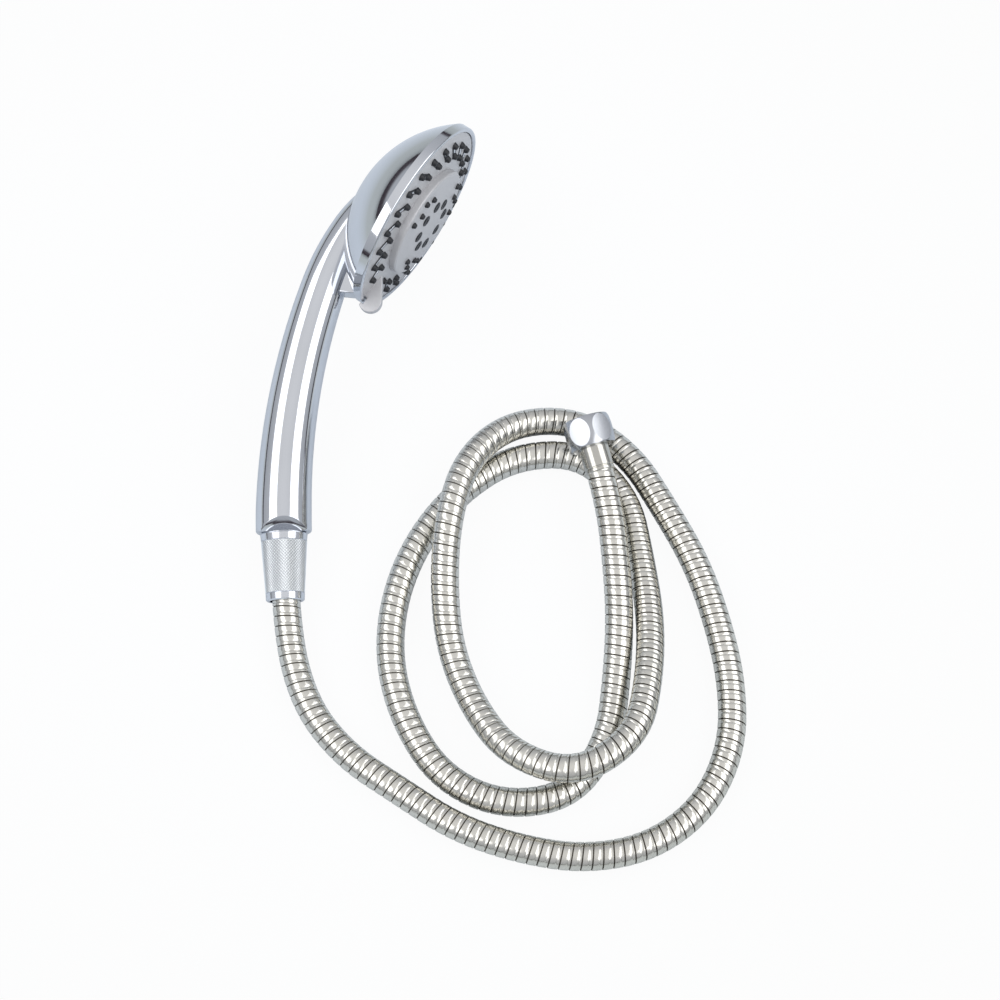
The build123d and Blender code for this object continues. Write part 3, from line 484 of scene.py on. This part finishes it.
def put(piece, place):
    """Moves a piece's mesh to its place."""
    choose(piece)
    piece.matrix_world = place
    bpy.ops.object.transform_apply()


def copies(piece, places):
    """The piece set at every place, each copy with its own mesh, joined into one."""
    made = []
    for place in places:
        twin = piece.copy()
        twin.data = piece.data.copy()
        bpy.context.collection.objects.link(twin)
        put(twin, place)
        made.append(twin)
    name = piece.name
    bpy.data.objects.remove(piece)
    joined = join(*made)
    joined.name = name
    joined.data.name = name
    return joined


def hand_in(piece, place, body, slot, finish, *stood_for, crisp=32.0):
    """Puts a finished mesh in its place, smooths it between crisp edges, and gives it its material and the body it
    rides on; hides the CAD nodes it stands for."""
    if len(piece.data.polygons) == 0:
        raise RuntimeError(f"{piece.name} has no faces")
    put(piece, place)
    bpy.ops.object.shade_smooth_by_angle(angle=math.radians(crisp))
    piece.data.materials.clear()
    piece.data.materials.append(bpy.data.materials[finish])
    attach(piece, body)
    if stood_for:
        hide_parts(*stood_for)


def polar(radius, angle, height=0.0):
    return Vector((radius * math.cos(angle), radius * math.sin(angle), height))


def at(spots):
    return [Matrix.Translation(spot) for spot in spots]


def arc(middle, radius, start, end, steps):
    """Points of an arc in an outline, angles in degrees."""
    angles = [math.radians(start + (end - start) * step / steps) for step in range(steps + 1)]
    return [(middle[0] + radius * math.cos(a), middle[1] + radius * math.sin(a)) for a in angles]


def handle_spine(sizes, distance):
    """Place (y, z) and slope of the handle's centreline, measured down from the neck."""
    neck_length = sizes.neck_bend * sizes.neck_turn
    y, z, bend, start, first = -sizes.neck_offset, -sizes.neck_drop, sizes.neck_bend, 0.0, 0.0
    if distance <= 0:
        bend = sizes.crown_bend
    elif distance > neck_length:
        first = sizes.neck_turn
        y -= sizes.neck_bend * math.sin(first)
        z += sizes.neck_bend * (1 - math.cos(first))
        bend, start = sizes.grip_bend, neck_length
    slope = first + (distance - start) / bend
    y -= bend * (math.sin(slope) - math.sin(first))
    z += bend * (math.cos(first) - math.cos(slope))
    return y, z, slope


def handle_length(sizes):
    return sizes.neck_bend * sizes.neck_turn + sizes.grip_bend * sizes.grip_turn


def inlet_place(sizes):
    """The handle's end plane in the handset's own frame, its Z axis along the inlet."""
    y, z, slope = handle_spine(sizes, handle_length(sizes))
    outward = Vector((0, -math.cos(slope), math.sin(slope)))
    return place_of(Vector((0, y, z)), Vector((1, 0, 0)), outward)


def face_height(shell, face, radius):
    """Height of the spray face's cone at a radius."""
    edge = shell.head_radius - shell.bezel_width - face.clearance
    rise = (face.crown + face.edge_drop) / (edge - face.centre_radius)
    return -face.edge_drop + (edge - radius) * rise


def centre_height(face, radius):
    """Height of the centre plate's domed front at a radius."""
    crown = (face.centre_radius**2 + face.centre_dome**2) / (2 * face.centre_dome)
    edge = face.crown + face.centre_step
    return edge + face.centre_dome - crown + math.sqrt(crown**2 - radius**2)


def nozzle_pairs(shell, face):
    """Feet of the outer and the inner nozzle of each pair; the lever takes the first place."""
    step = math.tau / face.pair_count
    pairs = []
    for index in range(1, face.pair_count):
        swing = -math.pi / 2 + step * index
        outer = polar(face.outer_ring, swing, face_height(shell, face, face.outer_ring))
        inner = polar(face.inner_ring, swing - step / 2, face_height(shell, face, face.inner_ring))
        pairs.append((outer, inner))
    return pairs


def bars(name, shell, face, width, height):
    """A bar between the two nozzles of each pair, standing out of the face by its height."""
    places = []
    long = 0.0
    for outer, inner in nozzle_pairs(shell, face):
        along = inner - outer
        long = along.length
        level = Vector((-along.y, along.x, 0)).normalized()
        way = along.normalized()
        places.append(place_of((outer + inner) / 2, way, way.cross(level)))
    deselect()
    bpy.ops.mesh.primitive_cube_add(size=1.0, scale=(long, width, 2 * height))
    bar = bpy.context.object
    bar.name = name
    bpy.ops.object.transform_apply()
    soften(bar, height / 3, segments=2)
    return copies(bar, places)


class MixFinishes(bpy.types.Operator):
    """Mixes the materials and gives the inner CAD pieces theirs"""

    bl_idname = "shower.mix_finishes"
    bl_label = "Mix finishes"

    def execute(self, context):
        shades = context.scene.shower_finishes
        chrome = tuple(shades.chrome)
        steel = tuple(shades.hose)
        made = {
            "plated_plastic": chrome_finish("bright_chrome", chrome, 0.06),
            "plated_nut": chrome_finish("nut_chrome", tinted(chrome, 1.03), 0.13),
            "satin_plastic": satin_finish("satin_silver", tuple(shades.satin)),
            "nozzle_rubber": rubber_finish("black_rubber", tuple(shades.rubber)),
            "seal_rubber": rubber_finish("seal_ring_rubber", (0.02, 0.02, 0.022)),
            "white_plastic": moulded_finish("white_moulding", (0.78, 0.78, 0.76)),
            "liner_plastic": moulded_finish("grey_liner", (0.55, 0.56, 0.57)),
            "bare_steel": metal_finish("turned_steel", (0.62, 0.62, 0.63), 0.28),
            "brass": metal_finish("turned_brass", (0.83, 0.66, 0.34), 0.25),
            "hose_steel": hose_finish("wound_steel", steel, tuple(shades.groove)),
        }
        # Painted shade: the crimp sleeve takes a darker copy of the hose's metal
        chrome_finish("sleeve_nickel_shaded", tinted(steel, 0.8), 0.13)
        # Painted shade: the hex nut takes a darker copy of the chrome, which dims the lamps' reflections in its
        # flats
        chrome_finish("supply_chrome_shaded", tinted(chrome, 0.77), 0.18)
        for entry in frame["record"]["subparts"]:
            node = nodes[entry["node"]]
            node.data.materials.clear()
            node.data.materials.append(made[entry["material_slot"]])
        return {"FINISHED"}


class BuildHose(bpy.types.Operator):
    """Winds the metal hose along its route"""

    bl_idname = "shower.build_hose"
    bl_label = "Metal hose"

    # One turn of the strip: share of the pitch, and share of the groove's depth
    PROFILE = (
        (0.00, 1.0), (0.05, 1.0), (0.075, 0.10), (0.20, 0.01), (0.42, 0.0), (0.64, 0.03), (0.675, 0.30),
        (0.71, 0.06), (0.93, 0.10),
    )
    STEPS = 28
    LEAD_TURNS = 1.5
    SHADED_SINK = 0.3
    SHADE_GAIN = 1.1

    def line(self):
        """Evenly drawn points of the hose's smooth line."""
        route = [hose_start, hose_start + inlet_axis * EXIT_RUN]
        route += [Vector((hose_start.x + x, hose_start.y + y, z)) for x, y, z in HOSE_ROUTE]
        curve = bpy.data.curves.new("hose_line", "CURVE")
        curve.dimensions = "3D"
        curve.resolution_u = 16
        spline = curve.splines.new("NURBS")
        spline.points.add(len(route) - 1)
        for point, place in zip(spline.points, route):
            point.co = (*place, 1.0)
        spline.order_u = 3
        spline.use_endpoint_u = True
        holder = bpy.data.objects.new("hose_line", curve)
        bpy.context.collection.objects.link(holder)
        bpy.context.view_layer.update()
        wire = bpy.data.meshes.new_from_object(holder)
        points = [vertex.co.copy() for vertex in wire.vertices]
        bpy.data.objects.remove(holder)
        bpy.data.meshes.remove(wire)
        return points

    def execute(self, context):
        sizes = context.scene.shower_hose
        points = self.line()
        reached = [0.0]
        for before, after in zip(points, points[1:]):
            reached.append(reached[-1] + (after - before).length)
        whole = reached[-1]
        last = len(points) - 1
        tangents = [
            (points[min(i + 1, last)] - points[max(i - 1, 0)]).normalized() for i in range(len(points))
        ]
        rings = math.ceil(whole / sizes.pitch) + 2
        total = rings * self.STEPS
        span = len(self.PROFILE)
        vertices = []
        grooves = []
        segment = 0
        stations = {}
        for step in range(total + 1):
            angle = -math.tau * step / self.STEPS
            for share, sink in self.PROFILE:
                distance = (step / self.STEPS + share - self.LEAD_TURNS) * sizes.pitch
                end = distance <= 0 or distance >= whole
                distance = min(max(distance, 0.0), whole)
                radius = sizes.radius - sizes.groove * (1.0 if end else sink)
                key = round(distance, 7)
                if key not in stations:
                    while segment > 0 and reached[segment] > distance:
                        segment -= 1
                    while segment < last - 1 and reached[segment + 1] < distance:
                        segment += 1
                    part = (distance - reached[segment]) / (reached[segment + 1] - reached[segment])
                    middle = points[segment].lerp(points[segment + 1], part)
                    along = tangents[segment].lerp(tangents[segment + 1], part).normalized()
                    side = Vector((-along.y, along.x, 0)).normalized()
                    stations[key] = (middle, side, along.cross(side))
                middle, side, up = stations[key]
                vertices.append(middle + (side * math.cos(angle) + up * math.sin(angle)) * radius)
                # Painted shade: the deep part of the groove, and the closed ends, get a value that darkens them in
                # the hose's material
                shaded = sink * self.SHADE_GAIN if sink > self.SHADED_SINK else 0.0
                grooves.append(1.0 if end else min(1.0, shaded))
        faces = []
        for step in range(total):
            for spot in range(span):
                first = step * span + spot
                second = first + span
                if spot < span - 1:
                    faces.append((first, second, second + 1, first + 1))
                elif step + 1 + self.STEPS <= total:
                    onward = (step + self.STEPS) * span
                    faces.append((first, second, onward + span, onward))
        mesh = bpy.data.meshes.new("wound_hose")
        mesh.from_pydata(vertices, [], faces)
        mesh.attributes.new("groove", "FLOAT", "POINT").data.foreach_set("value", grooves)
        hose = bpy.data.objects.new("wound_hose", mesh)
        context.collection.objects.link(hose)
        open_mesh(hose)
        bpy.ops.mesh.remove_doubles(threshold=MERGE_DISTANCE)
        bpy.ops.mesh.delete_loose()
        bpy.ops.mesh.select_all(action="SELECT")
        bpy.ops.mesh.fill_holes(sides=0)
        tidy_mesh(hose)
        hand_in(hose, Matrix.Identity(4), "hose", "hose_steel", "wound_steel", "metal_hose", crisp=40.0)
        2 * sizes.radius
        return {"FINISHED"}


class BuildShell(bpy.types.Operator):
    """Shapes the dome, the handle with its facets and the web"""

    bl_idname = "shower.build_shell"
    bl_label = "Handle and dome"

    SPANS = 72
    ROUND_STEPS = 8
    FACET_ROUND = 0.0006
    WEB_ROUND = 0.0008
    WEB_TOP = 0.9

    def dome(self, sizes):
        radius = (sizes.head_radius**2 + sizes.dome_depth**2) / (2 * sizes.dome_depth)
        middle = -sizes.bezel_depth - sizes.dome_depth + radius
        half = math.degrees(math.asin(sizes.head_radius / radius))
        points = [(0.0, -sizes.bezel_depth)]
        points += arc((0.0, middle), radius, -90.0 + half, -90.0, steps=40)
        return turned("dome", points, HEAD_STEPS)

    def handle(self, sizes):
        whole = handle_length(sizes)
        crown = sizes.crown_bend * sizes.crown_turn
        plain = whole - sizes.end_round
        run = plain + crown
        stations = [(-crown + run * step / self.SPANS, 0.0) for step in range(self.SPANS + 1)]
        for step in range(1, self.ROUND_STEPS + 1):
            swing = math.radians(90.0 * step / self.ROUND_STEPS)
            drawn_in = sizes.end_round * (1 - math.cos(swing))
            stations.append((plain + sizes.end_round * math.sin(swing), drawn_in))
        curve = bpy.data.curves.new("handle", "CURVE")
        curve.dimensions = "3D"
        curve.bevel_depth = 1.0
        curve.bevel_resolution = 22
        curve.use_fill_caps = True
        spline = curve.splines.new("POLY")
        spline.points.add(len(stations) - 1)
        for point, (distance, drawn_in) in zip(spline.points, stations):
            y, z = handle_spine(sizes, distance)[:2]
            share = min(max(distance, 0.0) / (whole - sizes.grip_straight), 1.0)
            point.co = (0.0, y, z, 1.0)
            widening = (sizes.grip_radius - sizes.neck_radius) * share
            point.radius = sizes.neck_radius + widening - drawn_in
        piece = bpy.data.objects.new("handle", curve)
        bpy.context.collection.objects.link(piece)
        choose(piece)
        bpy.ops.object.convert(target="MESH")
        piece = bpy.context.object
        tidy_mesh(piece)
        inlet = inlet_place(sizes)
        for swing in (sizes.facet_turn, sizes.facet_turn + math.pi):
            spot = inlet @ polar(sizes.grip_radius - sizes.facet_depth, swing)
            facing = inlet.to_3x3() @ polar(1.0, swing, 1.0).normalized()
            open_mesh(piece)
            bpy.ops.mesh.bisect(plane_co=spot, plane_no=facing, use_fill=True, clear_outer=True)
            bpy.ops.mesh.bevel(
                offset=self.FACET_ROUND, segments=3, affect="EDGES", clamp_overlap=True)
            tidy_mesh(piece)
        return piece

    def web(self, sizes):
        y, z = handle_spine(sizes, sizes.neck_bend * sizes.neck_turn)[:2]
        rim = sizes.head_radius - sizes.bezel_round
        inner = -sizes.head_radius + sizes.dome_depth
        points = [
            (-rim, -sizes.bezel_depth), (y, z + self.WEB_TOP * sizes.neck_radius), (y, z), (inner, z),
            (inner, -sizes.bezel_depth - sizes.bezel_width),
        ]
        piece = slab("web", points, sizes.web_width)
        soften(piece, self.WEB_ROUND)
        return piece

    def execute(self, context):
        sizes = context.scene.shower_shell
        shell = join(self.dome(sizes), self.handle(sizes), self.web(sizes))
        shell.name = "handle_and_dome"
        hand_in(shell, HANDSET, "handset", "plated_plastic", "bright_chrome", "handle_shell")
        return {"FINISHED"}


class BuildBezel(bpy.types.Operator):
    """Turns the bezel ring round the spray face"""

    bl_idname = "shower.build_bezel"
    bl_label = "Bezel ring"

    def execute(self, context):
        sizes = context.scene.shower_shell
        outer = sizes.head_radius
        inner = outer - sizes.bezel_width
        small = sizes.bezel_round
        points = [(inner, -sizes.bezel_depth), (outer, -sizes.bezel_depth), (outer, -small)]
        points += arc((outer - small, -small), small, 0.0, 90.0, steps=8)
        points += arc((inner + small, -small), small, 90.0, 180.0, steps=8)
        points.append((inner, -sizes.bezel_depth))
        bezel = turned("front_bezel", points, HEAD_STEPS)
        hand_in(bezel, HANDSET, "handset", "plated_plastic", "bright_chrome", "bezel_ring")
        return {"FINISHED"}


class BuildFace(bpy.types.Operator):
    """Shapes the turning spray face, its lever, rails and centre plate"""

    bl_idname = "shower.build_face"
    bl_label = "Spray face"

    LEVER_GAP = 0.0006
    LEVER_ROUND = 0.0005
    RAIL_WIDTH = 0.0014
    RAIL_HEIGHT = 0.00045
    EDGE_ROUND = 0.0003
    CENTRE_BEVEL = 0.0006
    DOME_RINGS = 24

    def lever(self, shell, face):
        """An upright tongue with a round tip that leans out over the bezel."""
        edge = shell.head_radius - shell.bezel_width - 2 * face.clearance
        rim = shell.head_radius + self.LEVER_GAP
        rise = face_height(shell, face, 0.0) - face_height(shell, face, 1.0)
        out, up = math.cos(face.lever_lean), math.sin(face.lever_lean)
        start = math.degrees(face.lever_lean) + 90.0
        middle = (shell.head_radius - face.lever_tip_inset, face.lever_tip_height)
        tip = arc(middle, face.lever_tip_radius, start, start - 180.0, steps=30)
        tip = [place for place in tip if place[1] > -2 * self.LEVER_GAP]
        root = face_height(shell, face, tip[0][0]) - face.thickness / 2
        back = (tip[0][1] - root) / (up + out * rise)
        toe = (tip[0][0] - back * out, tip[0][1] - back * up)
        foot = (edge, face_height(shell, face, edge) - face.thickness / 2)
        points = [toe, *tip, (rim, tip[-1][1]), (rim, self.LEVER_GAP), (edge, self.LEVER_GAP), foot]
        piece = slab("lever", [(-radius, height) for radius, height in points], face.lever_width)
        soften(piece, self.LEVER_ROUND, segments=4)
        return piece

    def execute(self, context):
        shell = context.scene.shower_shell
        face = context.scene.shower_face
        edge = shell.head_radius - shell.bezel_width - face.clearance
        low = -shell.bezel_depth + face.thickness
        plate = turned("spray_plate", [
            (face.centre_radius, low), (edge, low), (edge, -face.edge_drop),
            (face.centre_radius, face.crown), (face.centre_radius, low),
        ], HEAD_STEPS, self.EDGE_ROUND)
        join(plate, self.lever(shell, face))
        hand_in(plate, HANDSET, "selector", "satin_plastic", "satin_silver", "face_plate")
        rails = bars("rails", shell, face, self.RAIL_WIDTH, self.RAIL_HEIGHT)
        hand_in(rails, HANDSET, "selector", "plated_plastic", "bright_chrome")
        brim = face.centre_radius - self.CENTRE_BEVEL
        radii = [brim * ring / self.DOME_RINGS for ring in range(self.DOME_RINGS + 1)]
        dome = [(radius, centre_height(face, radius)) for radius in radii]
        dome.append((face.centre_radius, face.crown + face.centre_step - self.CENTRE_BEVEL))
        dome += [(face.centre_radius, low), (0.0, low)]
        disc = turned("centre_disc", dome, rounding=self.EDGE_ROUND)
        hand_in(disc, HANDSET, "selector", "satin_plastic", "satin_silver", "centre_plate")
        return {"FINISHED"}


class BuildNozzles(bpy.types.Operator):
    """Moulds the rubber nozzles and ports"""

    bl_idname = "shower.build_nozzles"
    bl_label = "Nozzles and ports"

    STRIP_WIDTH = 0.0034
    STRIP_HEIGHT = 0.00025
    FOOT_SPREAD = 1.12
    NOZZLE_FOOT = 0.0006
    NOZZLE_FILLET = 0.0002
    LIP_SHARE = 0.45
    JET_DEPTH = 0.001
    JET_TAPER = 0.8
    PORT_RISE = 0.0004
    PORT_EDGE = 0.0001
    PORT_DEPTH = 0.0008

    def nozzle(self, name, face, base, tip, height):
        """A tapered nozzle with a spread foot, a rounded lip and a blind jet."""
        jet = face.jet_radius
        lip = (tip - jet) * self.LIP_SHARE
        foot = base * self.FOOT_SPREAD
        deep = height - self.JET_DEPTH
        points = [(0.0, -self.NOZZLE_FOOT), (foot, -self.NOZZLE_FOOT)]
        points += [(foot, self.NOZZLE_FILLET), (base, self.NOZZLE_FOOT)]
        points += [(tip, height - lip), (tip - lip * 0.3, height - lip * 0.2), (tip - lip, height)]
        points += [(jet, height), (jet * self.JET_TAPER, deep), (0.0, deep)]
        return turned(name, points, steps=20)

    def execute(self, context):
        shell = context.scene.shower_shell
        face = context.scene.shower_face
        feet = [foot for pair in nozzle_pairs(shell, face) for foot in pair]
        nozzle = self.nozzle(
            "ring_nozzles", face, face.nozzle_base, face.nozzle_tip, face.nozzle_height)
        ring = copies(nozzle, at(feet))
        strips = bars("strips", shell, face, self.STRIP_WIDTH, self.STRIP_HEIGHT)
        join(ring, strips)
        hand_in(ring, HANDSET, "selector", "nozzle_rubber", "black_rubber", "nozzle_mat")
        spots = []
        for group in range(face.small_groups):
            for index in range(face.small_in_group):
                radius = face.small_ring + face.small_stagger * (index % 2)
                swing = face.small_start + face.small_step * index
                swing += math.tau * group / face.small_groups
                spots.append(polar(radius, swing, centre_height(face, radius)))
        small = self.nozzle(
            "centre_nozzles", face, face.small_base, face.small_tip, face.small_height)
        small = copies(small, at(spots))
        wide, low, high, deep = face.port_radius, self.PORT_EDGE, self.PORT_RISE, -self.PORT_DEPTH
        button = turned("ports", [
            (0.0, low), (wide * 0.35, low), (wide * 0.4, high), (wide * 0.85, high), (wide, low),
            (wide, deep), (0.0, deep),
        ], steps=32)
        level = centre_height(face, face.port_ring)
        step = math.tau / face.port_count
        swings = [face.port_start + step * index for index in range(face.port_count)]
        spots = [polar(face.port_ring, swing, level) for swing in swings]
        button = copies(button, at(spots))
        join(small, button)
        hand_in(small, HANDSET, "selector", "nozzle_rubber", "black_rubber", "centre_mat")
        return {"FINISHED"}


class BuildConeNut(bpy.types.Operator):
    """Turns the cone nut and rolls its diamond knurl"""

    bl_idname = "shower.build_cone_nut"
    bl_label = "Cone nut"

    CONE_GAP = 0.0003
    CONE_CHAMFER = 0.0006
    FLANGE_LIFT = 0.0115
    CONE_WALL = 0.0035
    # The turned lines beside the knurl
    LINE_DEPTH = 0.0005
    LINE_WIDTH = 0.0005
    LINE_RUN = 0.0002
    LINE_EDGE = 0.0001
    DIVISIONS = 4
    ROW_SLACK = 0.01
    RADIUS_SLACK = 1e-5

    def execute(self, context):
        sizes = context.scene.shower_hose
        start = self.CONE_GAP
        end = start + sizes.cone_length
        diamonds = round((sizes.cone_length - sizes.top_band - sizes.end_band) / sizes.knurl_rise)
        rows = diamonds * self.DIVISIONS
        low = start + sizes.top_band
        rise = sizes.knurl_rise / self.DIVISIONS

        def cone_radius(height):
            share = (height - start) / sizes.cone_length
            return sizes.cone_top + (sizes.cone_end - sizes.cone_top) * share

        high = low + rows * rise
        lip = self.CONE_CHAMFER
        mouth = cone_radius(start) - self.CONE_WALL
        seat = start + self.FLANGE_LIFT
        deep, edge = self.LINE_DEPTH, self.LINE_EDGE
        points = [(mouth, start), (cone_radius(start) - lip, start)]
        points.append((cone_radius(start + lip), start + lip))
        points.append((cone_radius(low) - edge, low - self.LINE_WIDTH))
        points.append((cone_radius(low) - deep, low - self.LINE_RUN))
        points += [(cone_radius(low + rise * row), low + rise * row) for row in range(rows + 1)]
        points.append((cone_radius(high) - deep, high + self.LINE_RUN))
        points.append((cone_radius(high) - edge, high + self.LINE_WIDTH))
        points += [(cone_radius(end - lip), end - lip), (cone_radius(end) - lip, end)]
        points += [(sizes.cone_bore, end), (sizes.cone_bore, seat), (mouth, seat), (mouth, start)]
        nut = turned("knurled_cone", points, sizes.knurl_count * self.DIVISIONS)
        open_mesh(nut)
        bpy.ops.mesh.poke()
        bpy.ops.object.mode_set(mode="OBJECT")
        grooves = [0.0] * len(nut.data.vertices)
        rolled = list(grooves)
        for vertex in nut.data.vertices:
            reach = math.hypot(vertex.co.x, vertex.co.y)
            row = (vertex.co.z - low) / sizes.knurl_rise
            inside = -self.ROW_SLACK < row < diamonds + self.ROW_SLACK
            if inside and abs(reach - cone_radius(vertex.co.z)) < self.RADIUS_SLACK:
                lap = math.atan2(vertex.co.y, vertex.co.x) / math.tau * sizes.knurl_count
                crossings = (lap + row, lap - row)
                nearest = min(abs(crossing - round(crossing)) for crossing in crossings)
                sunk = (0.5 - nearest) * 2 * sizes.knurl_depth
                vertex.co.xy *= (reach - sunk) / reach
                # Painted shade: each point's depth in a groove darkens it in the chrome; the rolled mark lets the
                # chrome paint a highlight over the knurled band
                grooves[vertex.index] = sunk / sizes.knurl_depth
                rolled[vertex.index] = 1.0
        nut.data.attributes.new("groove", "FLOAT", "POINT").data.foreach_set("value", grooves)
        nut.data.attributes.new("rolled", "FLOAT", "POINT").data.foreach_set("value", rolled)
        place = HANDSET @ inlet_place(context.scene.shower_shell)
        hand_in(nut, place, "cone_nut", "plated_nut", "nut_chrome", "cone_nut", crisp=25.0)
        return {"FINISHED"}


class BuildSupplyEnd(bpy.types.Operator):
    """Rounds the hex nut's edges and turns the sleeve behind it"""

    bl_idname = "shower.build_supply_end"
    bl_label = "Supply end"

    HEX_SOFTEN = 0.0004
    FLAT_LIMIT = 0.5
    SLEEVE_FIT = 0.00005
    SLEEVE_LIP = 0.0003
    SLEEVE_BAND = 0.0016
    SLEEVE_GROOVE = 0.0004

    def execute(self, context):
        sizes = context.scene.shower_hose
        source = nodes["hex_nut"]
        nut = bpy.data.objects.new("supply_nut", source.data.copy())
        context.collection.objects.link(nut)
        open_mesh(nut)
        bpy.ops.mesh.remove_doubles(threshold=MERGE_DISTANCE)
        bpy.ops.mesh.dissolve_limited(angle_limit=math.radians(self.FLAT_LIMIT))
        bpy.ops.object.mode_set(mode="OBJECT")
        soften(nut, self.HEX_SOFTEN, limit=20.0)
        place = Matrix.Identity(4)
        hand_in(nut, place, "hex_nut", "plated_nut", "supply_chrome_shaded", "hex_nut", crisp=30.0)
        inner = sizes.radius + self.SLEEVE_FIT
        outer = sizes.sleeve_radius
        lip = self.SLEEVE_LIP
        start = -sizes.sleeve_length
        low = start + self.SLEEVE_BAND
        high = low + lip + self.SLEEVE_GROOVE
        points = [(inner, start), (outer - lip, start), (outer, start + lip), (outer, low)]
        points += [(outer - lip, low + lip), (outer - lip, high), (outer, high + lip)]
        points += [(outer, 0.0), (inner, 0.0), (inner, start)]
        sleeve = turned("end_sleeve", points, steps=96)
        hand_in(sleeve, SUPPLY, "hose", "hose_steel", "sleeve_nickel_shaded", "lower_sleeve")
        return {"FINISHED"}


class BuildStage(bpy.types.Operator):
    """Lays the pale floor and sets the studio light and the camera"""

    bl_idname = "shower.build_stage"
    bl_label = "Floor, light and camera"

    SENSOR_WIDTH = 36.0
    FLOOR_SIZE = 6.0
    # The floor as the chrome mirrors it, beside the part and further off, and where it fades; the darker far
    # colour is painted shade.
    FLOOR_NEAR = (0.65, 0.70, 0.755)
    FLOOR_FAR_SHADED = (0.52, 0.55, 0.54)
    SHADE_FADE = (0.17, 0.40)
    # Each soft box: its place, and its length and width
    LEFT_BOX = ((-0.80, -0.25, 1.00), (1.9, 0.70))
    RIGHT_BOX = ((0.90, -0.25, 0.92), (1.9, 0.80))
    # The sky's colour at heights from the horizon to the zenith
    SKY = (
        (0.0, (0.05, 0.04, 0.05)), (0.06, (0.08, 0.07, 0.08)), (0.11, (0.50, 0.52, 0.55)),
        (0.60, (0.62, 0.63, 0.66)), (1.0, (0.88, 0.88, 0.89)),
    )

    def floor(self, sizes):
        deselect()
        bpy.ops.mesh.primitive_plane_add(size=self.FLOOR_SIZE)
        floor = bpy.context.object
        floor.name = "floor"
        finish = material("floor")
        seen = finish.node("LightPath", {}, {}, "Is Camera Ray")
        # Painted shade: the floor's matt colour darkens with distance from its middle, which the chrome and hose
        # mirror
        reach = finish.node("VectorMath", {"operation": "LENGTH"}, {0: finish.place()}, "Value")
        painted_falloff = finish.share(reach, *self.SHADE_FADE)
        shade = finish.blend(painted_falloff, self.FLOOR_NEAR, self.FLOOR_FAR_SHADED)
        matt = finish.node("BsdfDiffuse", {}, {"Color": shade})
        white = finish.node("Emission", {}, {"Color": (1.0, 1.0, 1.0), "Strength": 1.0})
        mixed = finish.node("MixShader", {}, {0: seen * sizes.floor_glow, 1: matt, 2: white})
        floor.data.materials.append(finish.end(mixed))

    def lamp(self, name, box, target, power):
        place, size = box
        light = bpy.data.lights.new(name, "AREA")
        light.shape = "RECTANGLE"
        light.size, light.size_y = size
        light.energy = power
        holder = bpy.data.objects.new(name, light)
        holder.location = place
        holder.rotation_euler = (target - Vector(place)).to_track_quat("-Z", "Y").to_euler()
        holder.visible_camera = False
        bpy.context.collection.objects.link(holder)

    def sky(self, scene):
        world = bpy.data.worlds.new("studio")
        scene.world = world
        finish = Finish(world, "OutputWorld")
        way = finish.node("TexCoord", {}, {}, "Generated")
        height = finish.node("SeparateXYZ", {}, {"Vector": way}, "Z")
        shade = finish.node("ValToRGB", {"stops": self.SKY}, {"Fac": height})
        finish.end(finish.node("Background", {}, {"Color": shade, "Strength": 1.0}))

    def execute(self, context):
        scene = context.scene
        sizes = scene.shower_stage
        scene.view_settings.view_transform = "Standard"
        self.floor(sizes)
        self.sky(scene)
        target = Vector(sizes.target)
        self.lamp("left_box", self.LEFT_BOX, target, sizes.left_power)
        self.lamp("right_box", self.RIGHT_BOX, target, sizes.right_power)
        camera = bpy.data.cameras.new("camera")
        camera.lens = sizes.lens
        camera.sensor_width = self.SENSOR_WIDTH
        holder = bpy.data.objects.new("camera", camera)
        away = Vector((0, -math.cos(sizes.elevation), math.sin(sizes.elevation)))
        holder.location = target + away * sizes.distance
        holder.rotation_euler = (math.pi / 2 - sizes.elevation, 0, 0)
        context.collection.objects.link(holder)
        scene.camera = holder
        return {"FINISHED"}


OPERATORS = (
    MixFinishes, BuildShell, BuildBezel, BuildFace, BuildNozzles, BuildConeNut, BuildSupplyEnd,
    BuildHose, BuildStage,
)


class ShowerPanel(bpy.types.Panel):
    """Lists the pieces of the shower head"""

    bl_idname = "VIEW3D_PT_shower"
    bl_label = "Shower head"
    bl_space_type = "VIEW_3D"
    bl_region_type = "UI"
    bl_category = "Shower"

    def draw(self, context):
        for operator in OPERATORS:
            self.layout.operator(operator.bl_idname)


SETTINGS = {
    "shower_shell": ShellSizes,
    "shower_face": FaceSizes,
    "shower_hose": HoseSizes,
    "shower_finishes": Finishes,
    "shower_stage": StageSizes,
}


def register():
    for name, group in SETTINGS.items():
        bpy.utils.register_class(group)
        setattr(bpy.types.Scene, name, bpy.props.PointerProperty(type=group))
    for operator in OPERATORS:
        bpy.utils.register_class(operator)
    bpy.utils.register_class(ShowerPanel)


def unregister():
    bpy.utils.unregister_class(ShowerPanel)
    for operator in reversed(OPERATORS):
        bpy.utils.unregister_class(operator)
    for name, group in SETTINGS.items():
        delattr(bpy.types.Scene, name)
        bpy.utils.unregister_class(group)


def main():
    register()
    bpy.ops.shower.mix_finishes()
    bpy.ops.shower.build_shell()
    bpy.ops.shower.build_bezel()
    bpy.ops.shower.build_face()
    bpy.ops.shower.build_nozzles()
    bpy.ops.shower.build_cone_nut()
    bpy.ops.shower.build_supply_end()
    bpy.ops.shower.build_hose()
    bpy.ops.shower.build_stage()


if __name__ == "__main__":
    main()
